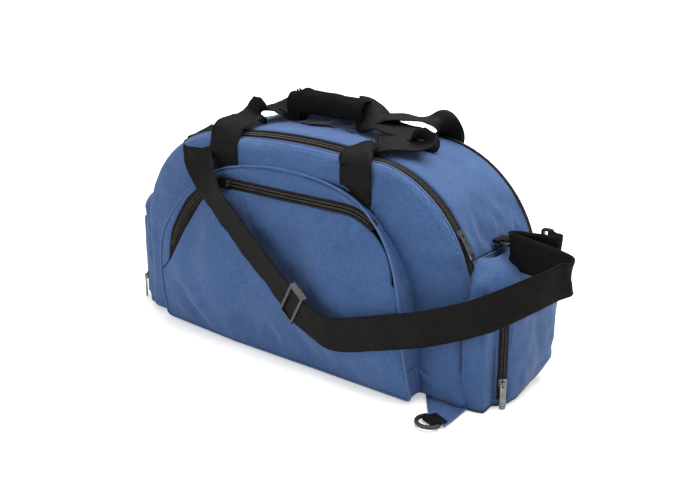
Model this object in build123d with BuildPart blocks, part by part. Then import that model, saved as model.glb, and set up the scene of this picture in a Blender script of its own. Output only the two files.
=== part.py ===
"""Duffel bag: arched body, zipped front pocket, two zipped end pockets and webbing straps.

Millimetres. X runs along the bag, Y from front to back, Z up.
The origin is the centre of the underside, on the floor.
"""

from build123d import *
import os
from math import atan2, cos, degrees, radians, sin

os.makedirs("parts", exist_ok=True)

# Body: two arched panels joined by a band of cloth
HALF_LENGTH = 244
HALF_DEPTH = 68
SHOULDER_Z = 110
SHOULDER_R = 142
TOP_Z = 260
CORNER_R = 20
CLOTH = 2
FRONT_BULGE = 14
REAR_BULGE = 12
END_SEAM_Z = 157
BOARD = 3
PAD = 4
GAP = 0.2

# Zips: two tapes with a slit between them, and a row of coil on each edge of the slit
TAPE_W = 12
SLIT = 1.6
COIL_W = 1.8
COIL_H = 1.4
MAIN_ZIP_LOW_Z = 144
MAIN_SLIDER_ANGLE = 32

# Front pocket
FRONT_Y = -(HALF_DEPTH + FRONT_BULGE + GAP)
POCKET_FLOOR = 4
POCKET_HALF_BASE = 198
POCKET_HALF_WAIST = 184
POCKET_WAIST_Z = 100
POCKET_TOP_Z = 226
POCKET_SHOULDER = (153, 172)
POCKET_KNEE = Vector(-110, 130)
POCKET_BROW = Vector(-84, 228)
POCKET_ZIP_Z = 198
POCKET_ZIP_FLAT = 90
POCKET_ZIP_BEND_R = 90
POCKET_SLIDER_X = -80

# End pockets
END_REACH = 40
END_CORNER_R = 30
END_FRONT_Y = -64
END_REAR_Y = 66
END_FLOOR = 3
END_STRAIGHT_Z = 118
END_TOP_Z = 159
END_ZIP_ANGLE = 50
END_ZIP_LOW_Z = 10
END_ZIP_HIGH_Z = 114
END_SLIDER_Z = 30

# Webbing and hardware
WEB_W = 38
WEB_T = 1.6
HANDLE_X = 95
WIRE = 4


def dome(outset=0):
    """Arched end view of the body, grown outwards by outset."""
    side_x = HALF_LENGTH - SHOULDER_R
    rise = TOP_Z - SHOULDER_Z
    crown_r = (side_x**2 + rise**2 - SHOULDER_R**2) / (2 * (rise - SHOULDER_R))
    crown_z = TOP_Z - crown_r
    meet = degrees(atan2(SHOULDER_Z - crown_z, side_x))
    with BuildSketch() as face:
        with BuildLine():
            Line((0, 0), (HALF_LENGTH - CORNER_R, 0))
            CenterArc((HALF_LENGTH - CORNER_R, CORNER_R), CORNER_R, -90, 90)
            Line((HALF_LENGTH, CORNER_R), (HALF_LENGTH, SHOULDER_Z))
            CenterArc((side_x, SHOULDER_Z), SHOULDER_R, 0, meet)
            CenterArc((0, crown_z), crown_r, meet, 90 - meet)
            mirror(about=Plane.YZ)
        make_face()
        if outset:
            offset(amount=outset)
    return face.sketch


def window(x_low, x_high, z_low, z_high):
    """Rectangle between two lengths and two heights."""
    with BuildSketch() as frame:
        with Locations(((x_low + x_high) / 2, (z_low + z_high) / 2)):
            Rectangle(x_high - x_low, z_high - z_low)
    return frame.sketch


def band(x_span, y_span, z_span, inner=-CLOTH, outer=0):
    """Piece of the cloth band that follows the arch, between two outsets."""
    with BuildPart() as strip:
        with BuildSketch(Plane.XZ.offset(-y_span[1])):
            add(dome(outer))
            add(dome(inner), mode=Mode.SUBTRACT)
            add(window(*x_span, *z_span), mode=Mode.INTERSECT)
        extrude(amount=y_span[1] - y_span[0])
    return strip.part


def dish(outset, depth, side):
    """Solid dome, crowned outwards from the front (-1) or rear (1) seam."""
    with BuildPart() as solid:
        with BuildSketch(Plane.XZ.offset(-side * HALF_DEPTH)):
            add(dome(outset))
        extrude(amount=-side * depth)
        rim = solid.faces().sort_by(Axis.Y)[-1 if side > 0 else 0]
        fillet(rim.edges(), radius=depth - 1)
    return solid.part


# ---------------------------------------------------------------- body panels

FULL_X = (-300, 300)
RIGHT_X = (0, 300)
LEFT_X = (-300, 0)
ZIP_REAR_Y = -HALF_DEPTH + TAPE_W
ZIP_MID_Y = -HALF_DEPTH + TAPE_W / 2

with BuildPart() as front_panel:
    add(dish(0, FRONT_BULGE, -1))
    add(dish(-CLOTH, FRONT_BULGE - CLOTH, -1), mode=Mode.SUBTRACT)
front_panel.part.label = "front_panel"
export_step(front_panel.part, "parts/front_panel.step")

with BuildPart() as rear_panel:
    add(dish(0, REAR_BULGE, 1))
    add(dish(-CLOTH, REAR_BULGE - CLOTH, 1), mode=Mode.SUBTRACT)
rear_panel.part.label = "rear_panel"
export_step(rear_panel.part, "parts/rear_panel.step")

with BuildPart() as top_gusset:
    add(band(FULL_X, (ZIP_REAR_Y, HALF_DEPTH), (END_SEAM_Z, TOP_Z + 9)))
top_gusset.part.label = "top_gusset"
export_step(top_gusset.part, "parts/top_gusset.step")

for side, x_span in (("left", LEFT_X), ("right", RIGHT_X)):
    with BuildPart() as end_panel:
        add(band(x_span, (ZIP_REAR_Y, HALF_DEPTH), (CORNER_R, END_SEAM_Z)))
        add(band(x_span, (-HALF_DEPTH, ZIP_REAR_Y), (CORNER_R, MAIN_ZIP_LOW_Z)))
    end_panel.part.label = f"{side}_end_panel"
    export_step(end_panel.part, f"parts/{side}_end_panel.step")

with BuildPart() as base_panel:
    add(band(FULL_X, (-HALF_DEPTH, HALF_DEPTH), (-1, CORNER_R)))
base_panel.part.label = "base_panel"
export_step(base_panel.part, "parts/base_panel.step")

INSIDE_X = 2 * (HALF_LENGTH - CORNER_R)
INSIDE_Y = 2 * (HALF_DEPTH - 4)

with BuildPart() as base_pad:
    with BuildSketch(Plane.XY.offset(CLOTH + GAP)):
        RectangleRounded(INSIDE_X, INSIDE_Y, CORNER_R)
    extrude(amount=PAD)
    fillet(base_pad.faces().sort_by(Axis.Z)[-1].edges(), radius=PAD / 2)
base_pad.part.label = "base_pad"
export_step(base_pad.part, "parts/base_pad.step")

with BuildPart() as base_board:
    with BuildSketch(Plane.XY.offset(CLOTH + PAD + 2 * GAP)):
        RectangleRounded(INSIDE_X - 8, INSIDE_Y - 8, CORNER_R)
    extrude(amount=BOARD)
base_board.part.label = "base_board"
export_step(base_board.part, "parts/base_board.step")

with BuildPart() as rear_piping:
    add(band(FULL_X, (HALF_DEPTH - 1.5, HALF_DEPTH + 1.5), (END_SEAM_Z, TOP_Z + 9), GAP, 3))
rear_piping.part.label = "rear_piping"
export_step(rear_piping.part, "parts/rear_piping.step")

# ------------------------------------------------------------------- main zip

ZIP_Z = (MAIN_ZIP_LOW_Z + GAP, TOP_Z + 9)

with BuildPart() as main_zip_tape:
    add(band(FULL_X, (-HALF_DEPTH, ZIP_MID_Y - SLIT / 2), ZIP_Z))
    add(band(FULL_X, (ZIP_MID_Y + SLIT / 2, ZIP_REAR_Y - GAP), ZIP_Z))
main_zip_tape.part.label = "main_zip_tape"
export_step(main_zip_tape.part, "parts/main_zip_tape.step")

COIL_Z = (MAIN_ZIP_LOW_Z + 2, TOP_Z + 9)

with BuildPart() as main_zip_coil:
    add(band(FULL_X, (ZIP_MID_Y - SLIT / 2 - COIL_W, ZIP_MID_Y - SLIT / 2), COIL_Z, 0, COIL_H))
    add(band(FULL_X, (ZIP_MID_Y + SLIT / 2, ZIP_MID_Y + SLIT / 2 + COIL_W), COIL_Z, 0, COIL_H))
main_zip_coil.part.label = "main_zip_coil"
export_step(main_zip_coil.part, "parts/main_zip_coil.step")

# ------------------------------------------------------------ sliders and pulls

SLIDER_L = 9
SLIDER_W = 9
PLATE = 1.2
PLATE_LOW = COIL_H + GAP
UNDER_TOP = -(CLOTH + 0.6)
BAIL_H = 3.4
BAIL_L = 4.8
BAIL_T = 2
PIN_R = 1.0
PIN_CLEAR = 0.08
PIN_H = PLATE_LOW + PLATE + 1.4
PULL_L = 30
PULL_W = 7
PULL_T = 1.6
PULL_SLOT = 2.8
PULL_SLOT_L = 4.6
CHEEK_R = 1.25


def pin_plane(place):
    """Plane square to the zip's width, through the middle of the pull's pin."""
    centre = place.origin + place.z_dir * PIN_H
    return Plane(origin=centre, x_dir=place.x_dir, z_dir=place.y_dir)


def slider(place):
    """Zip slider: two plates joined through the slit, with a bail on top.

    Its x runs along the zip, and its z away from the tape's outer face.
    """
    with BuildPart() as body:
        for low in (PLATE_LOW, UNDER_TOP - PLATE):
            with BuildSketch(place.offset(low)):
                RectangleRounded(SLIDER_L, SLIDER_W, 2)
            extrude(amount=PLATE)
        with BuildSketch(place.offset(UNDER_TOP - PLATE)):
            Rectangle(SLIDER_L / 2, SLIT - 2 * GAP)
        extrude(amount=PLATE_LOW - UNDER_TOP + PLATE)
        with BuildSketch(place.offset(PLATE_LOW + PLATE)):
            Rectangle(BAIL_L, BAIL_T)
        extrude(amount=BAIL_H)
        with BuildSketch(pin_plane(place)):
            Circle(PIN_R + PIN_CLEAR)
        extrude(amount=BAIL_T, both=True, mode=Mode.SUBTRACT)
    return body.part


def pull(place):
    """Flat pull tab, forked round the bail and pinned through it, lying back along the zip."""
    pin = pin_plane(place)
    cheek = (PULL_W - PULL_SLOT) / 2
    with BuildPart() as tab:
        with BuildSketch(place.offset(PIN_H - PULL_T / 2)):
            with Locations((-PULL_L / 2, 0)):
                RectangleRounded(PULL_L, PULL_W, 2)
            with Locations((0, 0)):
                Rectangle(2 * PULL_SLOT_L, PULL_SLOT, mode=Mode.SUBTRACT)
            with Locations((-PULL_L + 5, 0)):
                SlotOverall(PULL_W - 2, 2, rotation=90, mode=Mode.SUBTRACT)
        extrude(amount=PULL_T)
        for start in (PULL_SLOT / 2, -PULL_W / 2):
            with BuildSketch(pin.offset(start)):
                Circle(CHEEK_R)
            extrude(amount=cheek)
        with BuildSketch(pin):
            Circle(PIN_R)
        extrude(amount=PULL_W / 2, both=True)
    return tab.part


def arch_plane(angle, y, outset=0):
    """Plane on the right-hand shoulder arc: x up along the arc, z outwards."""
    out = Vector(cos(radians(angle)), 0, sin(radians(angle)))
    centre = Vector(HALF_LENGTH - SHOULDER_R, y, SHOULDER_Z)
    up = Vector(-out.Z, 0, out.X)
    return Plane(origin=centre + out * (SHOULDER_R + outset), x_dir=up, z_dir=out)


main_zip_place = arch_plane(MAIN_SLIDER_ANGLE, ZIP_MID_Y)

with BuildPart() as main_slider:
    add(slider(main_zip_place))
main_slider.part.label = "main_slider"
export_step(main_slider.part, "parts/main_slider.step")

with BuildPart() as main_pull:
    add(pull(main_zip_place))
main_pull.part.label = "main_pull"
export_step(main_pull.part, "parts/main_pull.step")

# --------------------------------------------------------------- front pocket


def pocket_outline(outset=0):
    """Front view of the pocket: flared sides under a low crown."""
    shoulder = (86, POCKET_TOP_Z - 10)
    crown_r = (shoulder[0] ** 2 + 10**2) / (2 * 10)
    crown_z = POCKET_TOP_Z - crown_r
    meet = degrees(atan2(shoulder[1] - crown_z, shoulder[0]))
    waist = (POCKET_HALF_WAIST, POCKET_WAIST_Z)
    with BuildSketch() as face:
        with BuildLine():
            Line((0, POCKET_FLOOR), (POCKET_HALF_BASE, POCKET_FLOOR))
            Line((POCKET_HALF_BASE, POCKET_FLOOR), waist)
            ThreePointArc(waist, POCKET_SHOULDER, shoulder)
            CenterArc((0, crown_z), crown_r, meet, 90 - meet)
            mirror(about=Plane.YZ)
        make_face()
        if outset:
            offset(amount=outset, kind=Kind.INTERSECTION)
    return face.sketch


def pocket_profile(outset=0):
    """Side view of the pocket: bulging below, leaning back to the body above."""
    slope = POCKET_BROW - POCKET_KNEE
    top = POCKET_KNEE + slope * ((TOP_Z - POCKET_KNEE.Y) / slope.Y)
    with BuildSketch() as face:
        with BuildLine():
            ThreePointArc((-101, -10), (-113, 62), POCKET_KNEE)
            Line(POCKET_KNEE, top)
            Polyline(top, (-40, TOP_Z), (-40, -10), (-101, -10))
        make_face()
        if outset:
            offset(amount=outset, kind=Kind.INTERSECTION)
    return face.sketch


slope = (POCKET_BROW - POCKET_KNEE).normalized()
zip_y = POCKET_KNEE.X + slope.X * (POCKET_ZIP_Z - POCKET_KNEE.Y) / slope.Y
zip_view = Plane(origin=(0, zip_y, POCKET_ZIP_Z), x_dir=(1, 0, 0), z_dir=(0, -slope.Y, slope.X))


def below_zip(shift):
    """Everything under the pocket's zip, seen square to the cloth there, moved up by shift."""
    radius = POCKET_ZIP_BEND_R + shift
    end_x = POCKET_ZIP_FLAT + radius * cos(radians(30))
    end_y = radius * sin(radians(30)) - POCKET_ZIP_BEND_R
    with BuildSketch() as region:
        with BuildLine():
            Polyline((0, -TOP_Z), (HALF_LENGTH, -TOP_Z), (HALF_LENGTH, end_y), (end_x, end_y))
            CenterArc((POCKET_ZIP_FLAT, -POCKET_ZIP_BEND_R), radius, 30, 60)
            Line((POCKET_ZIP_FLAT, shift), (0, shift))
            mirror(about=Plane.YZ)
        make_face()
    return region.sketch


def pocket_piece(low, high, inner=-CLOTH, outer=0):
    """Cloth of the pocket's face between two shifts of its zip line."""
    with BuildPart() as cloth:
        with BuildSketch(Plane.YZ.offset(-HALF_LENGTH)):
            add(pocket_profile(outer))
            add(pocket_profile(inner), mode=Mode.SUBTRACT)
        extrude(amount=2 * HALF_LENGTH)
        with BuildSketch(Plane.XZ.offset(-FRONT_Y)):
            add(pocket_outline(-CLOTH - GAP))
        extrude(amount=HALF_DEPTH, mode=Mode.INTERSECT)
        with BuildSketch(zip_view):
            if high is None:
                Rectangle(2 * HALF_LENGTH, 2 * TOP_Z)
            else:
                add(below_zip(high))
            if low is not None:
                add(below_zip(low), mode=Mode.SUBTRACT)
        extrude(amount=HALF_DEPTH, both=True, mode=Mode.INTERSECT)
    return cloth.part


with BuildPart() as front_pocket_gusset:
    with BuildSketch(Plane.XZ.offset(-FRONT_Y)):
        add(pocket_outline())
        add(pocket_outline(-CLOTH), mode=Mode.SUBTRACT)
    extrude(amount=HALF_DEPTH)
    with BuildSketch(Plane.YZ.offset(-HALF_LENGTH)):
        add(pocket_profile())
    extrude(amount=2 * HALF_LENGTH, mode=Mode.INTERSECT)
front_pocket_gusset.part.label = "front_pocket_gusset"
export_step(front_pocket_gusset.part, "parts/front_pocket_gusset.step")

HALF_TAPE = TAPE_W / 2

with BuildPart() as front_pocket_face:
    add(pocket_piece(None, -HALF_TAPE))
front_pocket_face.part.label = "front_pocket_face"
export_step(front_pocket_face.part, "parts/front_pocket_face.step")

with BuildPart() as front_pocket_flap:
    add(pocket_piece(HALF_TAPE, None))
front_pocket_flap.part.label = "front_pocket_flap"
export_step(front_pocket_flap.part, "parts/front_pocket_flap.step")

with BuildPart() as front_pocket_zip_tape:
    add(pocket_piece(SLIT / 2, HALF_TAPE - GAP))
    add(pocket_piece(-HALF_TAPE + GAP, -SLIT / 2))
front_pocket_zip_tape.part.label = "front_pocket_zip_tape"
export_step(front_pocket_zip_tape.part, "parts/front_pocket_zip_tape.step")

with BuildPart() as front_pocket_zip_coil:
    add(pocket_piece(SLIT / 2, SLIT / 2 + COIL_W, 0, COIL_H))
    add(pocket_piece(-SLIT / 2 - COIL_W, -SLIT / 2, 0, COIL_H))
front_pocket_zip_coil.part.label = "front_pocket_zip_coil"
export_step(front_pocket_zip_coil.part, "parts/front_pocket_zip_coil.step")

pocket_zip_place = Plane(
    origin=zip_view.origin + Vector(POCKET_SLIDER_X, 0, 0), x_dir=(1, 0, 0), z_dir=zip_view.z_dir
)

with BuildPart() as front_pocket_slider:
    add(slider(pocket_zip_place))
front_pocket_slider.part.label = "front_pocket_slider"
export_step(front_pocket_slider.part, "parts/front_pocket_slider.step")

with BuildPart() as front_pocket_pull:
    add(pull(pocket_zip_place))
front_pocket_pull.part.label = "front_pocket_pull"
export_step(front_pocket_pull.part, "parts/front_pocket_pull.step")

# ---------------------------------------------------------------- end pockets

END_X = HALF_LENGTH + END_REACH
END_CORNER = Vector(END_X - END_CORNER_R, END_FRONT_Y + END_CORNER_R)
MM_TO_DEGREES = degrees(1 / END_CORNER_R)


def end_block(outset=0):
    """Solid end pocket on the right, with rounded upright corners and a sloping top."""
    back_x = HALF_LENGTH - 30
    with BuildPart() as block:
        with BuildSketch():
            with Locations(((back_x + END_X) / 2, (END_FRONT_Y + END_REAR_Y) / 2)):
                Rectangle(END_X - back_x, END_REAR_Y - END_FRONT_Y)
            fillet(vertices().group_by(Axis.X)[-1], END_CORNER_R)
            if outset:
                offset(amount=outset)
        extrude(amount=TOP_Z)
        with BuildSketch(Plane.XZ.offset(-TOP_Z)):
            with BuildLine():
                Polyline((back_x, END_TOP_Z), (back_x, END_FLOOR), (END_X - 8, END_FLOOR))
                Polyline((END_X - 8, END_FLOOR), (END_X, END_FLOOR + 10), (END_X, END_STRAIGHT_Z))
                ThreePointArc((END_X, END_STRAIGHT_Z), (END_X - 14, 148), (HALF_LENGTH - 12, END_TOP_Z))
                Line((HALF_LENGTH - 12, END_TOP_Z), (back_x, END_TOP_Z))
            make_face()
            if outset:
                offset(amount=outset, kind=Kind.INTERSECTION)
        extrude(amount=2 * TOP_Z, mode=Mode.INTERSECT)
        with BuildSketch(Plane.YZ.offset(back_x)):
            with Locations(((END_FRONT_Y + END_REAR_Y) / 2, END_TOP_Z / 2)):
                Rectangle(END_REAR_Y - END_FRONT_Y + 2, END_TOP_Z + 2)
            fillet(vertices().group_by(Axis.Y)[-1], END_CORNER_R)
            if outset:
                offset(amount=outset)
        extrude(amount=TOP_Z, mode=Mode.INTERSECT)
    return block.part


def corner_strip(low, high, inner, outer, z_span):
    """Upright strip round the pocket's front corner, between two arc lengths from the zip."""
    middle = END_ZIP_ANGLE - 90
    start = middle + low * MM_TO_DEGREES
    sweep_angle = (high - low) * MM_TO_DEGREES
    with BuildPart() as strip:
        with BuildSketch(Plane.XY.offset(z_span[0])):
            with BuildLine():
                near = CenterArc(END_CORNER, END_CORNER_R + inner, start, sweep_angle)
                far = CenterArc(END_CORNER, END_CORNER_R + outer, start, sweep_angle)
                Line(near @ 0, far @ 0)
                Line(near @ 1, far @ 1)
            make_face()
        extrude(amount=z_span[1] - z_span[0])
    return strip.part


def end_zip_place():
    """Plane on the right-hand end zip at its slider: x up along the zip, z outwards."""
    out = Vector(sin(radians(END_ZIP_ANGLE)), -cos(radians(END_ZIP_ANGLE)), 0)
    origin = Vector(END_CORNER.X, END_CORNER.Y, END_SLIDER_Z) + out * END_CORNER_R
    return Plane(origin=origin, x_dir=(0, 0, 1), z_dir=out)


def on_side(piece, side):
    """The right-hand piece itself, or its mirror image on the left."""
    return piece if side == "right" else piece.mirror(Plane.YZ)


END_ZIP_Z = (END_ZIP_LOW_Z, END_ZIP_HIGH_Z)

with BuildPart() as end_shell:
    add(end_block())
    add(end_block(-CLOTH), mode=Mode.SUBTRACT)
    with BuildSketch(Plane.XZ.offset(-TOP_Z)):
        add(dome(GAP))
    extrude(amount=2 * TOP_Z, mode=Mode.SUBTRACT)
    with BuildSketch(Plane.XZ.offset(-ZIP_REAR_Y)):
        add(dome(COIL_H + GAP))
    extrude(amount=TAPE_W, mode=Mode.SUBTRACT)
    slot_half = HALF_TAPE + GAP
    slot_z = (END_ZIP_LOW_Z - GAP, END_ZIP_HIGH_Z + GAP)
    add(corner_strip(-slot_half, slot_half, -2 * CLOTH, CLOTH, slot_z), mode=Mode.SUBTRACT)

with BuildPart() as end_tape:
    add(corner_strip(-HALF_TAPE, -SLIT / 2, -CLOTH, 0, END_ZIP_Z))
    add(corner_strip(SLIT / 2, HALF_TAPE, -CLOTH, 0, END_ZIP_Z))

with BuildPart() as end_coil:
    add(corner_strip(-SLIT / 2 - COIL_W, -SLIT / 2, 0, COIL_H, END_ZIP_Z))
    add(corner_strip(SLIT / 2, SLIT / 2 + COIL_W, 0, COIL_H, END_ZIP_Z))

for side in ("left", "right"):
    with BuildPart() as end_pocket:
        add(on_side(end_shell.part, side))
    end_pocket.part.label = f"{side}_end_pocket"
    export_step(end_pocket.part, f"parts/{side}_end_pocket.step")

    with BuildPart() as end_zip_tape:
        add(on_side(end_tape.part, side))
    end_zip_tape.part.label = f"{side}_end_zip_tape"
    export_step(end_zip_tape.part, f"parts/{side}_end_zip_tape.step")

    with BuildPart() as end_zip_coil:
        add(on_side(end_coil.part, side))
    end_zip_coil.part.label = f"{side}_end_zip_coil"
    export_step(end_zip_coil.part, f"parts/{side}_end_zip_coil.step")

    with BuildPart() as end_slider:
        add(on_side(slider(end_zip_place()), side))
    end_slider.part.label = f"{side}_end_slider"
    export_step(end_slider.part, f"parts/{side}_end_slider.step")

    with BuildPart() as end_pull:
        add(on_side(pull(end_zip_place()), side))
    end_pull.part.label = f"{side}_end_pull"
    export_step(end_pull.part, f"parts/{side}_end_pull.step")

# -------------------------------------------------------------------- webbing


def webbing(path, across, width=WEB_W, count=24):
    """Flat webbing along a path, turning its width evenly through the given directions."""
    with BuildPart() as strap:
        for step in range(count + 1):
            along = step / count
            share = along * (len(across) - 1)
            first = min(int(share), len(across) - 2)
            blend = share - first
            wide = Vector(across[first]) * (1 - blend) + Vector(across[first + 1]) * blend
            with BuildSketch(Plane(origin=path @ along, x_dir=wide, z_dir=path % along)):
                Rectangle(width, WEB_T)
        loft(ruled=True)
    return strap.part


GRIP_Z = 288
GRIP_X = (-57, 47)
GRIP_Y = 3
GRIP_L = GRIP_X[1] - GRIP_X[0]
GRIP_WALL = 5
LINING_T = 1
LEG_LOW_Z = 221
LEG_HIGH_Z = 246

for name, side, face_y, inner_y in (
    ("front_handle", -1, HALF_DEPTH + FRONT_BULGE, GRIP_Y - 3),
    ("rear_handle", 1, HALF_DEPTH + REAR_BULGE, GRIP_Y + 3),
):
    leg_y = side * (face_y + GAP + WEB_T / 2)
    foot = Vector(HANDLE_X, leg_y, LEG_LOW_Z)
    hip = Vector(HANDLE_X, leg_y, LEG_HIGH_Z)
    with BuildPart() as handle:
        with BuildLine(mode=Mode.PRIVATE) as rise:
            leg = Line(foot, hip)
        with BuildLine(mode=Mode.PRIVATE) as swing:
            Spline(
                hip,
                (HANDLE_X - 3, side * 62, 268),
                (HANDLE_X - 22, side * 24, GRIP_Z - 2),
                (GRIP_X[1] + 2, inner_y, GRIP_Z),
                tangents=((0, 0, 1), (-1, 0, 0)),
            )
        add(webbing(rise.edges()[0], ((1, 0, 0), (1, 0, 0)), count=1))
        add(webbing(swing.edges()[0], ((1, 0, 0), (0.8, -side * 0.2, 0.5), (0, 0, 1)), count=16))
        mirror(about=Plane.YZ)
        with Locations((0, inner_y, GRIP_Z)):
            Box(2 * GRIP_X[1] + 4, WEB_T, WEB_W)
    handle.part.label = name
    export_step(handle.part, f"parts/{name}.step")

with BuildPart() as grip_lining:
    with BuildSketch(Plane.YZ.offset(GRIP_X[0])):
        with Locations((GRIP_Y, GRIP_Z)):
            RectangleRounded(12 + 2 * LINING_T, WEB_W + 2 + 2 * LINING_T, 3)
            RectangleRounded(12, WEB_W + 2, 2, mode=Mode.SUBTRACT)
    extrude(amount=GRIP_L)
grip_lining.part.label = "grip_lining"
export_step(grip_lining.part, "parts/grip_lining.step")

with BuildPart() as grip_wrap:
    with BuildSketch(Plane.YZ.offset(GRIP_X[0])):
        with Locations((GRIP_Y, GRIP_Z)):
            RectangleRounded(14 + 2 * GRIP_WALL, WEB_W + 4 + GRIP_WALL, 8)
            RectangleRounded(14 + GAP, WEB_W + 4 + GAP, 3, mode=Mode.SUBTRACT)
    extrude(amount=GRIP_L)
grip_wrap.part.label = "grip_wrap"
export_step(grip_wrap.part, "parts/grip_wrap.step")

with BuildPart() as handle_patches:
    for side, face_y in ((-1, HALF_DEPTH + FRONT_BULGE), (1, HALF_DEPTH + REAR_BULGE)):
        patch_y = side * (face_y + 2 * GAP + WEB_T)
        with BuildSketch(Plane.XZ.offset(-patch_y)):
            with Locations((HANDLE_X, LEG_LOW_Z + 12), (-HANDLE_X, LEG_LOW_Z + 12)):
                RectangleRounded(WEB_W + 4, 20, 3)
        extrude(amount=-side * WEB_T)
handle_patches.part.label = "handle_patches"
export_step(handle_patches.part, "parts/handle_patches.step")

# ------------------------------------------------------- rings, tabs and hooks

LOOP_R = 2.9
LOOP_SPAN = 21
RING_W = 28
RING_DEPTH = 16


def d_face(outset):
    """D shape between the wire's middle lines: straight bar on x, bow towards -y."""
    with BuildSketch() as face:
        with BuildLine():
            Line((-RING_W / 2, 0), (RING_W / 2, 0))
            ThreePointArc((RING_W / 2, 0), (0, -RING_DEPTH), (-RING_W / 2, 0))
        make_face()
        offset(amount=outset)
    return face.sketch


def d_ring(place):
    """D-ring with its straight bar along the plane's x."""
    with BuildPart() as ring:
        with BuildSketch(place.offset(-WIRE / 2)):
            add(d_face(WIRE / 2))
            add(d_face(-WIRE / 2), mode=Mode.SUBTRACT)
        extrude(amount=WIRE)
        fillet(ring.edges().filter_by(lambda e: e.length > 4.5), radius=1)
    return ring.part


def tab_loop(place, leg, span=LOOP_SPAN):
    """Webbing folded round a ring's bar, its two layers running back along +y."""
    section = Plane(origin=place.origin - place.x_dir * span / 2, x_dir=place.y_dir, z_dir=place.x_dir)
    with BuildPart() as loop:
        with BuildSketch(section):
            Circle(LOOP_R + WEB_T)
            with Locations((leg / 2, 0)):
                Rectangle(leg, 2 * WEB_T)
            Circle(LOOP_R, mode=Mode.SUBTRACT)
        extrude(amount=span)
    return loop.part


HOOK_R = 6
HOOK_WALL = 3.6
HOOK_T = 4.4
HOOK_PLAY = 0.8
GATE_LOW = 62
GATE_HIGH = 118
GATE_GAP = 0.5
GATE_REACH = 6.3
EYE_X = 24
EYE_BAR = 3
EYE_IN = 7
EYE_OUT_W = WEB_W + 7


def hook_head(place, rim=0):
    """Ring of the snap hook's head: a washer shape with its middle at the plane's origin."""
    with BuildPart() as head:
        with BuildSketch(place.offset(-HOOK_T / 2)):
            Circle(HOOK_R + HOOK_WALL - rim)
            Circle(HOOK_R + rim, mode=Mode.SUBTRACT)
        extrude(amount=HOOK_T)
    return head.part


def gate_wedge(place, low, high):
    """Wedge that takes the hook's ring between two angles."""
    reach = 2 * (HOOK_R + HOOK_WALL)
    with BuildPart() as wedge:
        with BuildSketch(place.offset(-HOOK_T)):
            with BuildLine():
                rim = CenterArc((0, 0), reach, low, high - low)
                Line((0, 0), rim @ 0)
                Line((0, 0), rim @ 1)
            make_face()
        extrude(amount=2 * HOOK_T)
    return wedge.part


def gate_pivot(place):
    """Plane of the gate's pivot, near the neck end of the gate."""
    radius = HOOK_R + HOOK_WALL / 2
    angle = radians(GATE_LOW)
    centre = place.origin + place.x_dir * radius * cos(angle) + place.y_dir * radius * sin(angle)
    return Plane(origin=centre, x_dir=place.x_dir, z_dir=place.z_dir)


def snap_hook(place, eye_place):
    """Snap hook: open ring, neck along +x and a webbing eye lying in the second plane."""
    pivot = gate_pivot(place)
    neck = Plane(origin=place.origin + place.x_dir * (HOOK_R + 1), z_dir=place.x_dir)
    with BuildPart() as hook:
        add(hook_head(place))
        add(gate_wedge(place, GATE_LOW, GATE_HIGH), mode=Mode.SUBTRACT)
        with BuildSketch(pivot.offset(-HOOK_T)):
            Circle(HOOK_WALL / 2 + GATE_GAP)
        extrude(amount=2 * HOOK_T, mode=Mode.SUBTRACT)
        with BuildSketch(neck):
            Circle(HOOK_T / 2)
        extrude(amount=EYE_X - HOOK_R)
        with BuildSketch(eye_place.offset(-HOOK_T / 2)):
            with Locations((EYE_X + EYE_IN / 2, 0)):
                RectangleRounded(EYE_IN + 2 * EYE_BAR, EYE_OUT_W, 3)
                Rectangle(EYE_IN, WEB_W + 1.5, mode=Mode.SUBTRACT)
        extrude(amount=HOOK_T)
    return hook.part


def hook_gate(place):
    """Spring gate that closes the hook's ring, rounded about its pivot."""
    pivot = gate_pivot(place)
    with BuildPart() as gate:
        add(hook_head(place, rim=0.2))
        add(gate_wedge(place, GATE_LOW, GATE_HIGH - 4), mode=Mode.INTERSECT)
        with BuildSketch(pivot.offset(-HOOK_T / 2)):
            Circle(HOOK_WALL / 2)
        extrude(amount=HOOK_T)
        with BuildSketch(pivot.offset(-HOOK_T / 2)):
            Circle(GATE_REACH)
        extrude(amount=HOOK_T, mode=Mode.INTERSECT)
    return gate.part


RING_TILT = 30
LEFT_BAR_ANGLE = 24

left_bar = arch_plane(LEFT_BAR_ANGLE, 0, LOOP_R + WEB_T + GAP)
left_bar_at = Vector(-left_bar.origin.X, 0, left_bar.origin.Z)
left_up = Vector(sin(radians(LEFT_BAR_ANGLE)), 0, cos(radians(LEFT_BAR_ANGLE)))
left_out = Vector(-left_up.Z, 0, left_up.X)
ring_way = left_up * cos(radians(RING_TILT)) + left_out * sin(radians(RING_TILT))
left_ring_place = Plane(origin=left_bar_at, x_dir=(0, 1, 0), z_dir=Vector(0, 1, 0).cross(ring_way * -1))
left_tab_place = Plane(origin=left_bar_at, x_dir=(0, 1, 0), z_dir=left_out)
left_way = Vector(0.45, 0, 0.893).normalized()
left_hook_at = left_bar_at + ring_way * RING_DEPTH + left_way * (HOOK_R - WIRE / 2 - 2 * HOOK_PLAY)
left_hook_place = Plane(origin=left_hook_at, x_dir=left_way, z_dir=(0, 1, 0))
left_eye_place = Plane(origin=left_hook_at, x_dir=left_way, z_dir=left_way.cross(Vector(0, 1, 0)))

RIGHT_BAR_X = 246
RIGHT_BAR_Z = 168.5
right_bar_at = Vector(RIGHT_BAR_X, 0, RIGHT_BAR_Z)
right_ring_place = Plane(origin=right_bar_at, x_dir=(0, 1, 0), z_dir=(0, 0, 1))
right_hook_at = right_bar_at + Vector(RING_DEPTH + HOOK_R - WIRE / 2 - HOOK_PLAY, 0, 0)
right_hook_place = Plane(origin=right_hook_at, x_dir=(1, 0, 0), z_dir=(0, -1, 0))

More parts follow.
